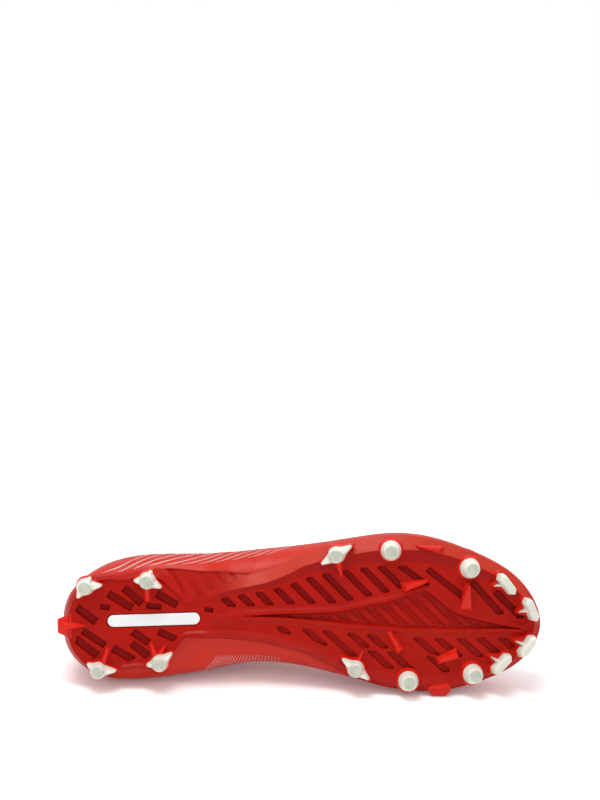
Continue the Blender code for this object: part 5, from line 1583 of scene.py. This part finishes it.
def build_insole(material):
    """A thin foam bed on the flange and on the plate, following the inside of the upper."""
    inner = RINGS - NORMALS * (wall_thickness() + INSOLE_GAP)[:, :, None]
    inward = np.column_stack([INWARD, np.zeros(RIBS)])
    low, side = (inner[level] + inward * INSOLE_GAP for level in (0, EDGE_LEVEL))
    low = low + inward * 2 * MM
    low[:, 2] = sole_top(low[:, 0]) + WALL + INSOLE_GAP
    lift = np.array([0, 0, INSOLE_THICK])
    rings = [low, side, side + inward * 0.4 * MM + lift * 0.55, side + inward * 1.2 * MM + lift * 0.8]
    top = low + lift
    middle = np.column_stack([top[:, 0], np.full(RIBS, 0.02 * BALL_WIDTH), top[:, 2]])
    for share, sink in INSOLE_RINGS:
        ring = top + (middle - top) * share
        ring[:, 2] = sole_top(ring[:, 0]) + WALL + INSOLE_GAP + INSOLE_THICK - INSOLE_DISH * sink
        rings.append(ring)
    points = np.concatenate(rings)
    faces = net_faces(len(rings), RIBS).tolist()
    faces += [f[::-1] for f in ladder_cap(0)] + ladder_cap((len(rings) - 1) * RIBS)
    return piece("foot_bed", points, faces, [material], node="insole", slot="red_lining")


TONGUE_ROWS = 60
TONGUE_ACROSS = 25
TONGUE_FREE_ROWS = 14
TONGUE_GAP = 0.6 * MM
TONGUE_LEAN = np.array([-0.25, 0, 0.5])
# rows: share of the way up the free end; its width as a share of the throat's
TONGUE_TAPER = ((0, 0.4, 0.85, 1.0), (1.0, 0.62, 0.56, 0.42))
TONGUE_EDGE = 0.25
TONGUE_SOFT_STEPS = 3
THROAT_FRONT = 0.940
THROAT_TOP = 0.376
THROAT_FLAT = 0.98


def smooth_through(points, count):
    """Points at equal shares along a smooth line through a few points."""
    points = np.asarray(points, float)
    at = np.linspace(0, 1, len(points))
    want = np.linspace(0, 1, count)
    out = [smooth_table(at, points[:, c])(want) for c in range(points.shape[1])]
    return np.stack(out, axis=1)


def throat_sections(depth):
    """Sections across the throat below the upper, from its front to its top."""
    along = np.linspace(THROAT_FRONT, THROAT_TOP, TONGUE_ROWS)
    out = []
    for share in along:
        sides = []
        for side in (-1, 1):
            ups = np.array([0.75, 0.875, 1.0])
            spots, normals = on_skin(np.full(3, share), ups, side, overlays=False)
            sides.append(spots - normals * depth)
        left, right = sides
        front = min(1.0, (THROAT_FLAT - share) / 0.25)
        crown = np.array([0.3, 0, 1]) * TONGUE_CROWN * front
        centre = (left[-1] + right[-1]) / 2 + crown
        lift = np.array([0, 0, 0.22]) * TONGUE_CROWN * front
        line = [*left, (left[-1] + centre) / 2 + lift, centre, (centre + right[-1]) / 2 + lift, *right[::-1]]
        out.append(smooth_through(line, TONGUE_ACROSS))
    return out


def build_tongue(material):
    """A padded tongue under the throat that stands above the top eyelets, with a soft rounded end."""
    depth = WALL + TONGUE_GAP
    outside, inside = throat_sections(depth), throat_sections(depth + TONGUE_THICK)
    step = TONGUE_ROWS // TONGUE_FREE_ROWS
    way = unit(outside[-1].mean(0) - outside[-1 - step].mean(0))
    lean = unit(way * 0.82 + TONGUE_LEAN)
    rows = np.linspace(0, 1, TONGUE_FREE_ROWS + 1)[1:]
    narrow = smooth_table(*TONGUE_TAPER)(rows)
    for stack in (outside, inside):
        base = stack[-1]
        centre = base.mean(0)
        for rise, share in zip(rows, narrow):
            stack.append((base - centre) * np.array([1, share, share]) + centre + lean * TONGUE_RISE * rise)
    outside, inside = np.array(outside), np.array(inside)
    count = len(outside)
    across, along = (np.sqrt(from_ends(steps, TONGUE_SOFT_STEPS)) for steps in (TONGUE_ACROSS, count))
    puff = across[None, :] * along[:, None]
    middle = (outside + inside) / 2
    half = (outside - inside) / 2 * (TONGUE_EDGE + (1 - TONGUE_EDGE) * puff)[:, :, None]
    top, low = middle + half, middle - half
    points = np.concatenate([top.reshape(-1, 3), low.reshape(-1, 3)])
    back = count * TONGUE_ACROSS
    first = net_faces(count, TONGUE_ACROSS, 0, closed=False)
    second = net_faces(count, TONGUE_ACROSS, back, closed=False)[:, ::-1]
    faces = np.concatenate([first, second]).tolist()
    for c in range(TONGUE_ACROSS - 1):
        base = (count - 1) * TONGUE_ACROSS + c
        faces.append((c + 1, c, back + c, back + c + 1))
        faces.append((base, base + 1, back + base + 1, back + base))
    for r in range(count - 1):
        a, b = r * TONGUE_ACROSS, (r + 1) * TONGUE_ACROSS
        c, d = a + TONGUE_ACROSS - 1, b + TONGUE_ACROSS - 1
        faces.append((a, b, back + b, back + a))
        faces.append((d, c, back + c, back + d))
    return piece("padded_tongue", points, faces, [material], node="tongue", slot="red_tongue", smooth=0)


EYELETS = (0.402, 0.446, 0.490, 0.535, 0.580, 0.625)
EYELET_UP = 1 - 1 / 8
THROAT_UP = unit(np.array([0.35, 0, 1.0]))
LACE_LIFT = 0.7 * MM
LACE_HUMP = 1.6 * MM
LACE_STEP = 0.15 * MM
LACE_STEPS = 60
LACE_DIP = 2.2 * MM
LACE_ASIDE = 0.0015
LACE_UPS = np.array([EYELET_UP, EYELET_UP, 0.93, 1.0])
LACE_PINCH = 0.55


def lace_line(near, far, over):
    """One crossing, from the lateral eyelet to the medial one over the throat, dipping into both."""
    lift = LACE_LIFT + LACE_THICK / 2 + LACE_STEP * over
    stops, ups = [], []
    for share, side in ((near, -1), (far, 1)):
        place = share + LACE_ASIDE * (over if near > far or near == far else -over) * side
        spots, normals = on_skin(np.full(len(LACE_UPS), place), LACE_UPS, side)
        lifts = np.array([-LACE_DIP, lift * 0.75, lift, lift])
        line = spots + normals * lifts[:, None]
        line[3] += THROAT_UP * LACE_HUMP
        normals = normals.copy()
        normals[3] = unit(normals[3] + THROAT_UP)
        stops.append(line)
        ups.append(normals)
    middle = (stops[0][-1] + stops[1][-1]) / 2 + THROAT_UP * (LACE_THICK * 0.62 * over)
    line = np.array([*stops[0], middle, *stops[1][::-1]])
    up = np.array([*ups[0], THROAT_UP, *ups[1][::-1]])
    return smooth_through(line, LACE_STEPS), smooth_through(up, LACE_STEPS)


def build_laces(material):
    """The lace: crossings over the throat that run into the eyelets."""
    pile = Pile()
    pairs = [(EYELETS[-1], EYELETS[-1], 0)]
    for k in range(len(EYELETS) - 1):
        pairs += [(EYELETS[k], EYELETS[k + 1], -1), (EYELETS[k + 1], EYELETS[k], 1)]
    for near, far, over in pairs:
        line, up = lace_line(near, far, over)
        aside, above = frames_along(line, units(up))
        width = LACE_WIDTH / 2 * (LACE_PINCH + (1 - LACE_PINCH) * from_ends(LACE_STEPS, 5))
        pile.add(*tube(line, aside * width[:, None], above * LACE_THICK / 2))
    return pile.make("lace", material, node="laces", slot="white_lace", smooth=60)


SIDE_LINES = 11
SIDE_LINE_WIDTH = 0.85 * MM
SIDE_LINE_START = 0.085
SIDE_LINE_PITCH = 0.034
SIDE_LINE_LOW = -0.205
SIDE_LINE_RISE = 0.09
LOW_LINES = 4
ARCH_LINES = 22
ARCH_LINE_WIDTH = 0.45 * MM
ARCH_LINES_START = 0.300
ARCH_LINES_LENGTH = 0.155
ARCH_LINE_LEAN = 0.034
LINE_LIFT = 0.10 * MM


def ribbon_on_skin(pile, along, up, side, width, lift):
    """A thin printed line on the skin through the given shares, pointed at both ends."""
    spots, normals = on_skin(along, up, side, lift)
    aside, over = frames_along(spots, normals)
    count = len(spots)
    half = width / 2 * (0.25 + 0.75 * from_ends(count, count / 8))
    corners = []
    for u, v in ((-1, -0.5), (1, -0.5), (0.8, 0.5), (-0.8, 0.5)):
        corners.append(spots + aside * (half * u)[:, None] + over * (LINE_LIFT * v))
    points = np.stack(corners, axis=1).reshape(-1, 3)
    faces = net_faces(count, 4).tolist() + [(3, 2, 1, 0), tuple(range(4 * count - 4, 4 * count))]
    pile.add(points, faces)


def build_side_lines(material):
    """Thin silvery lines that sweep up and forward over the lateral side of the heel and the waist."""
    pile = Pile()
    for k in range(SIDE_LINES):
        t = np.linspace(0, 1, 36)
        along = SIDE_LINE_START + SIDE_LINE_PITCH * k + (0.19 + 0.03 * t) * t
        low = SIDE_LINE_LOW + SIDE_LINE_RISE * max(k - LOW_LINES, 0) / (SIDE_LINES - 1 - LOW_LINES)
        up = low + 0.19 * t + 0.46 * t * t
        width = SIDE_LINE_WIDTH * (1 - 0.35 * k / SIDE_LINES)
        ribbon_on_skin(pile, along, up, -1, width, LINE_LIFT * 0.5)
    return pile.make("side_lines", material, slot="white_badge", smooth=60)


def build_arch_lines(material):
    """A fan of short fine lines over the medial arch."""
    pile = Pile()
    for k in range(ARCH_LINES):
        t = np.linspace(0, 1, 12)
        share = k / (ARCH_LINES - 1)
        lean = ARCH_LINE_LEAN * (1 - share) ** 1.4
        along = ARCH_LINES_START + ARCH_LINES_LENGTH * share + lean * (1 - t)
        up = -0.155 + 0.105 * t - 0.010 * (1 - share)
        ribbon_on_skin(pile, along, up, 1, ARCH_LINE_WIDTH, LINE_LIFT * 0.4)
    return pile.make("arch_lines", material, slot="white_badge", smooth=60)


STITCH = 2.2 * MM
STITCH_GAP = 1.1 * MM
STITCH_WIDTH = 0.55 * MM
STITCH_RISE = np.array([-0.30, 0.06, 0.12, 0.06, -0.30]) * MM
SEAM_STEPS = 120
# columns: first and last place along of a seam; share up the side
SEAMS = ((0.372, 0.700, 0.965), (0.372, 0.700, EYESTAY_UP + 0.035), (0.014, 0.345, 0.955))


def stitch_row(pile, along, up, side):
    """Stitches at an even pitch along a line on the skin."""
    spots, normals = on_skin(along, up, side, 0.12 * MM)
    reached = walked(spots)
    for first in np.arange(0, reached[-1] - STITCH, STITCH + STITCH_GAP):
        at = first + np.array([0, 0.25, 0.5, 0.75, 1.0]) * STITCH
        ups = at_reach(normals, reached, at)
        line = at_reach(spots, reached, at) + ups * STITCH_RISE[:, None]
        if (LYING @ Vector(line[2])).z < STITCH_WIDTH:
            continue
        aside, over = frames_along(line, ups)
        pile.add(*tube(line, aside * STITCH_WIDTH / 2, over * STITCH_WIDTH / 2))


def build_stitches(material):
    """Seams: two rows beside the throat, one under the collar and one round the heel counter."""
    pile = Pile()
    for side in (-1, 1):
        for first, last, up in SEAMS:
            stitch_row(pile, np.linspace(first, last, SEAM_STEPS), np.full(SEAM_STEPS, up), side)
        run = np.linspace(0.030, 0.300, SEAM_STEPS)
        stitch_row(pile, run, 0.60 - COUNTER_FALL * np.maximum(run - COUNTER_START, 0), side)
    return pile.make("stitches", material, slot="red_lining", smooth=0)


EYELET_RADIUS = 2.5 * MM
EYELET_RIM = 0.65 * MM
EYELET_STEPS = 28
HOLE_SUNK = 0.3 * MM
HOLE_PROUD = 0.05 * MM


def build_eyelets(rim_material, hole_shade_material):
    """A moulded ring at every eyelet, and inside it a dark disc on the skin: painted shade where the hole
    would be.
    """
    rims, hole_shades = Pile(), Pile()
    turn = 2 * math.pi * np.arange(EYELET_STEPS) / EYELET_STEPS
    for share in EYELETS:
        for side in (-1, 1):
            spot, normal = on_skin(np.array([share]), np.array([EYELET_UP]), side, 0.15 * MM)
            spot, normal = spot[0], normal[0]
            first = unit(np.cross(normal, np.array([1.0, 0, 0])))
            second = np.cross(normal, first)
            spokes = np.cos(turn)[:, None] * first + np.sin(turn)[:, None] * second
            centres = spot + spokes * EYELET_RADIUS
            overs = np.tile(normal * EYELET_RIM * -0.7, (EYELET_STEPS, 1))
            rims.add(*tube(centres, spokes * EYELET_RIM, overs, closed=True))
            # A dark disc on the skin: painted shade where the hole would be
            low, high = centres - normal * HOLE_SUNK, spot + spokes * EYELET_RADIUS * 0.98
            points = np.concatenate([low, high + normal * HOLE_PROUD])
            caps = [tuple(range(EYELET_STEPS))[::-1], tuple(range(EYELET_STEPS, 2 * EYELET_STEPS))]
            hole_shades.add(points, net_faces(2, EYELET_STEPS).tolist() + caps)
    rims.make("eyelet_rims", rim_material, slot="red_plate", smooth=60)
    hole_shades.make("eyelet_hole_shades", hole_shade_material, slot="red_lining", smooth=40)


BINDING_SIDE = 0.35 * MM
BINDING_OVER = 1.1 * MM


def build_binding(material):
    """The rolled edge of the collar and of the throat."""
    inner = RINGS[-1] - NORMALS[-1] * wall_thickness()[-1][:, None]
    outer = SKIN[-1]
    centres = (outer + inner) / 2
    half = np.linalg.norm(outer - inner, axis=1) / 2
    ahead = units(np.roll(centres, -1, axis=0) - np.roll(centres, 1, axis=0))
    aside = outer - inner
    aside = units(aside - ahead * np.sum(aside * ahead, axis=1)[:, None])
    over = np.cross(ahead, aside)
    half = half + BINDING_SIDE * OFF_FLOOR[-1]
    points, faces = tube(centres, aside * half[:, None], over * BINDING_OVER, closed=True)
    return piece("edge_binding", points, faces, [material], slot="red_lining", smooth=60)


def plain_look(name, colour, roughness, shine=0.5, metallic=0.0):
    """A thin print or thread: nearly even colour, with a little cloudiness and grain."""
    look = Look(name, colour, roughness)
    look.set("Specular IOR Level", shine)
    look.set("Metallic", metallic)
    cloudy = look.span(look.noise(90, 4.0), 0.35, 0.7)
    look.colour(look.mix(cloudy, colour, tuple(c * 0.82 for c in colour)))
    look.bump((look.noise(1500, 2.0), 0.15, 0.0003))
    return look.material


# Stage, light and camera

SHOE_POINT = Vector((0.0, -0.048, 0.047))
CAMERA_DISTANCE = 1.195
CAMERA_UP = math.radians(18.92)
CAMERA_LEFT = math.radians(0.90)
CAMERA_ROLL = math.radians(1.41)
FOCAL_PIXELS = 1980
PHOTO = (600, 800)
SHOE_PIXEL = (306.1, 623.1)
FLOOR_HALF = 40.0


def build_camera():
    """The camera: it looks a little over the shoe, which stands low in the frame, and is rolled slightly."""
    data = bpy.data.cameras.new("camera")
    camera = added("camera", data)
    data.sensor_fit = "AUTO"
    data.sensor_width = 36
    data.lens = FOCAL_PIXELS / PHOTO[1] * 36
    flat = math.cos(CAMERA_UP)
    back = Vector((-math.sin(CAMERA_LEFT) * flat, -math.cos(CAMERA_LEFT) * flat, math.sin(CAMERA_UP)))
    right = Vector((math.cos(CAMERA_LEFT), -math.sin(CAMERA_LEFT), 0))
    look = Matrix((right, back.cross(right), back)).transposed()
    right_off = math.atan((SHOE_PIXEL[0] - PHOTO[0] / 2) / FOCAL_PIXELS)
    down_off = math.atan((SHOE_PIXEL[1] - PHOTO[1] / 2) / FOCAL_PIXELS)
    aim = Matrix.Rotation(right_off, 3, "Y") @ Matrix.Rotation(down_off, 3, "X")
    turn = look @ aim @ Matrix.Rotation(CAMERA_ROLL, 3, "Z")
    camera.matrix_world = Matrix.Translation(SHOE_POINT + back * CAMERA_DISTANCE) @ turn.to_4x4()
    bpy.context.scene.camera = camera


def area_light(name, place, target, size, power, colour=(1, 1, 1)):
    data = bpy.data.lights.new(name, "AREA")
    data.shape = "RECTANGLE"
    data.size, data.size_y = size
    data.energy = power
    data.color = colour
    lamp = added(name, data)
    lamp.location = place
    lamp.rotation_euler = (Vector(target) - Vector(place)).to_track_quat("-Z", "Y").to_euler()


def build_stage():
    """A plain white floor that runs out of view, soft light, and a surround that dims near the floor."""
    mesh = bpy.data.meshes.new("floor")
    corners = [(u * FLOOR_HALF, v * FLOOR_HALF, 0) for u, v in ((-1, -1), (1, -1), (1, 1), (-1, 1))]
    mesh.from_pydata(corners, [], [(0, 1, 2, 3)])
    white = (0.95, 0.95, 0.95)
    look = Look("floor_white", white, 0.9)
    look.set("Specular IOR Level", 0.05)
    look.set("Emission Color", (1, 1, 1, 1))
    look.set("Emission Strength", 0.10)
    cloudy = look.span(look.noise(3), 0.3, 0.7)
    look.colour(look.mix(cloudy, white, (0.94, 0.94, 0.94)))
    mesh.materials.append(look.material)
    floor = added("floor", mesh)
    world = bpy.data.worlds.new("surround")
    bpy.context.scene.world = world
    world.use_nodes = True
    nodes, links = world.node_tree.nodes, world.node_tree.links
    place = nodes.new("ShaderNodeTexCoord")
    split = nodes.new("ShaderNodeSeparateXYZ")
    rise = nodes.new("ShaderNodeMapRange")
    for name, number in (("From Min", 0.0), ("From Max", 0.5), ("To Min", 0.30), ("To Max", 1.02)):
        rise.inputs[name].default_value = number
    links.new(place.outputs["Generated"], split.inputs["Vector"])
    links.new(split.outputs["Z"], rise.inputs["Value"])
    links.new(rise.outputs["Result"], nodes["Background"].inputs["Strength"])
    nodes["Background"].inputs["Color"].default_value = (1, 1, 1, 1)
    area_light("over", (-0.2, -0.25, 1.2), (0, 0, 0.04), (0.7, 0.4), 8)
    area_light("front", (0.45, -1.4, 0.75), (0, 0, 0.04), (0.7, 0.5), 1.5)
    bpy.context.scene.view_settings.view_transform = "Standard"


build_camera()
build_stage()
# The second colour of each red is the painted shade colour for recessed places
plate_red = moulded_red("red_plate", (0.36, 0.0055, 0.0012), (0.23, 0.0003, 0.0001), 0.36, 0.03)
lug_red = moulded_red("red_lug", (0.60, 0.0140, 0.0060), (0.20, 0.0008, 0.0004), 0.27, 0.20)
skin = skin_red()
lining = cloth("red_lining", (0.42, 0.02, 0.018), 900)
white_stud = stud_white()
build_plate(plate_red)
build_lugs(lug_red)
for stud_row in STUDS:
    build_tip(stud_row, white_stud)
build_badge(plain_white())
build_upper(skin, lining)
build_insole(cloth("red_foot_bed", (0.40, 0.02, 0.018), 700))
build_tongue(cloth("red_tongue", (0.50, 0.025, 0.02), 600))
build_side_lines(plain_look("silver_print", (0.58, 0.42, 0.40), 0.35, 0.5, 0.2))
build_arch_lines(plain_look("grey_print", (0.62, 0.34, 0.31), 0.45))
build_stitches(plain_look("red_thread", (0.36, 0.010, 0.008), 0.7, 0.2))
# Each eyelet gets a dark disc of painted shade in its hole
build_eyelets(lug_red, plain_look("painted_hole_shade", (0.035, 0.003, 0.003), 0.9, 0.1))
build_binding(cloth("red_binding", (0.46, 0.016, 0.012), 1500))
build_laces(cloth("white_lace", (0.80, 0.80, 0.78), 1400, 0.2))
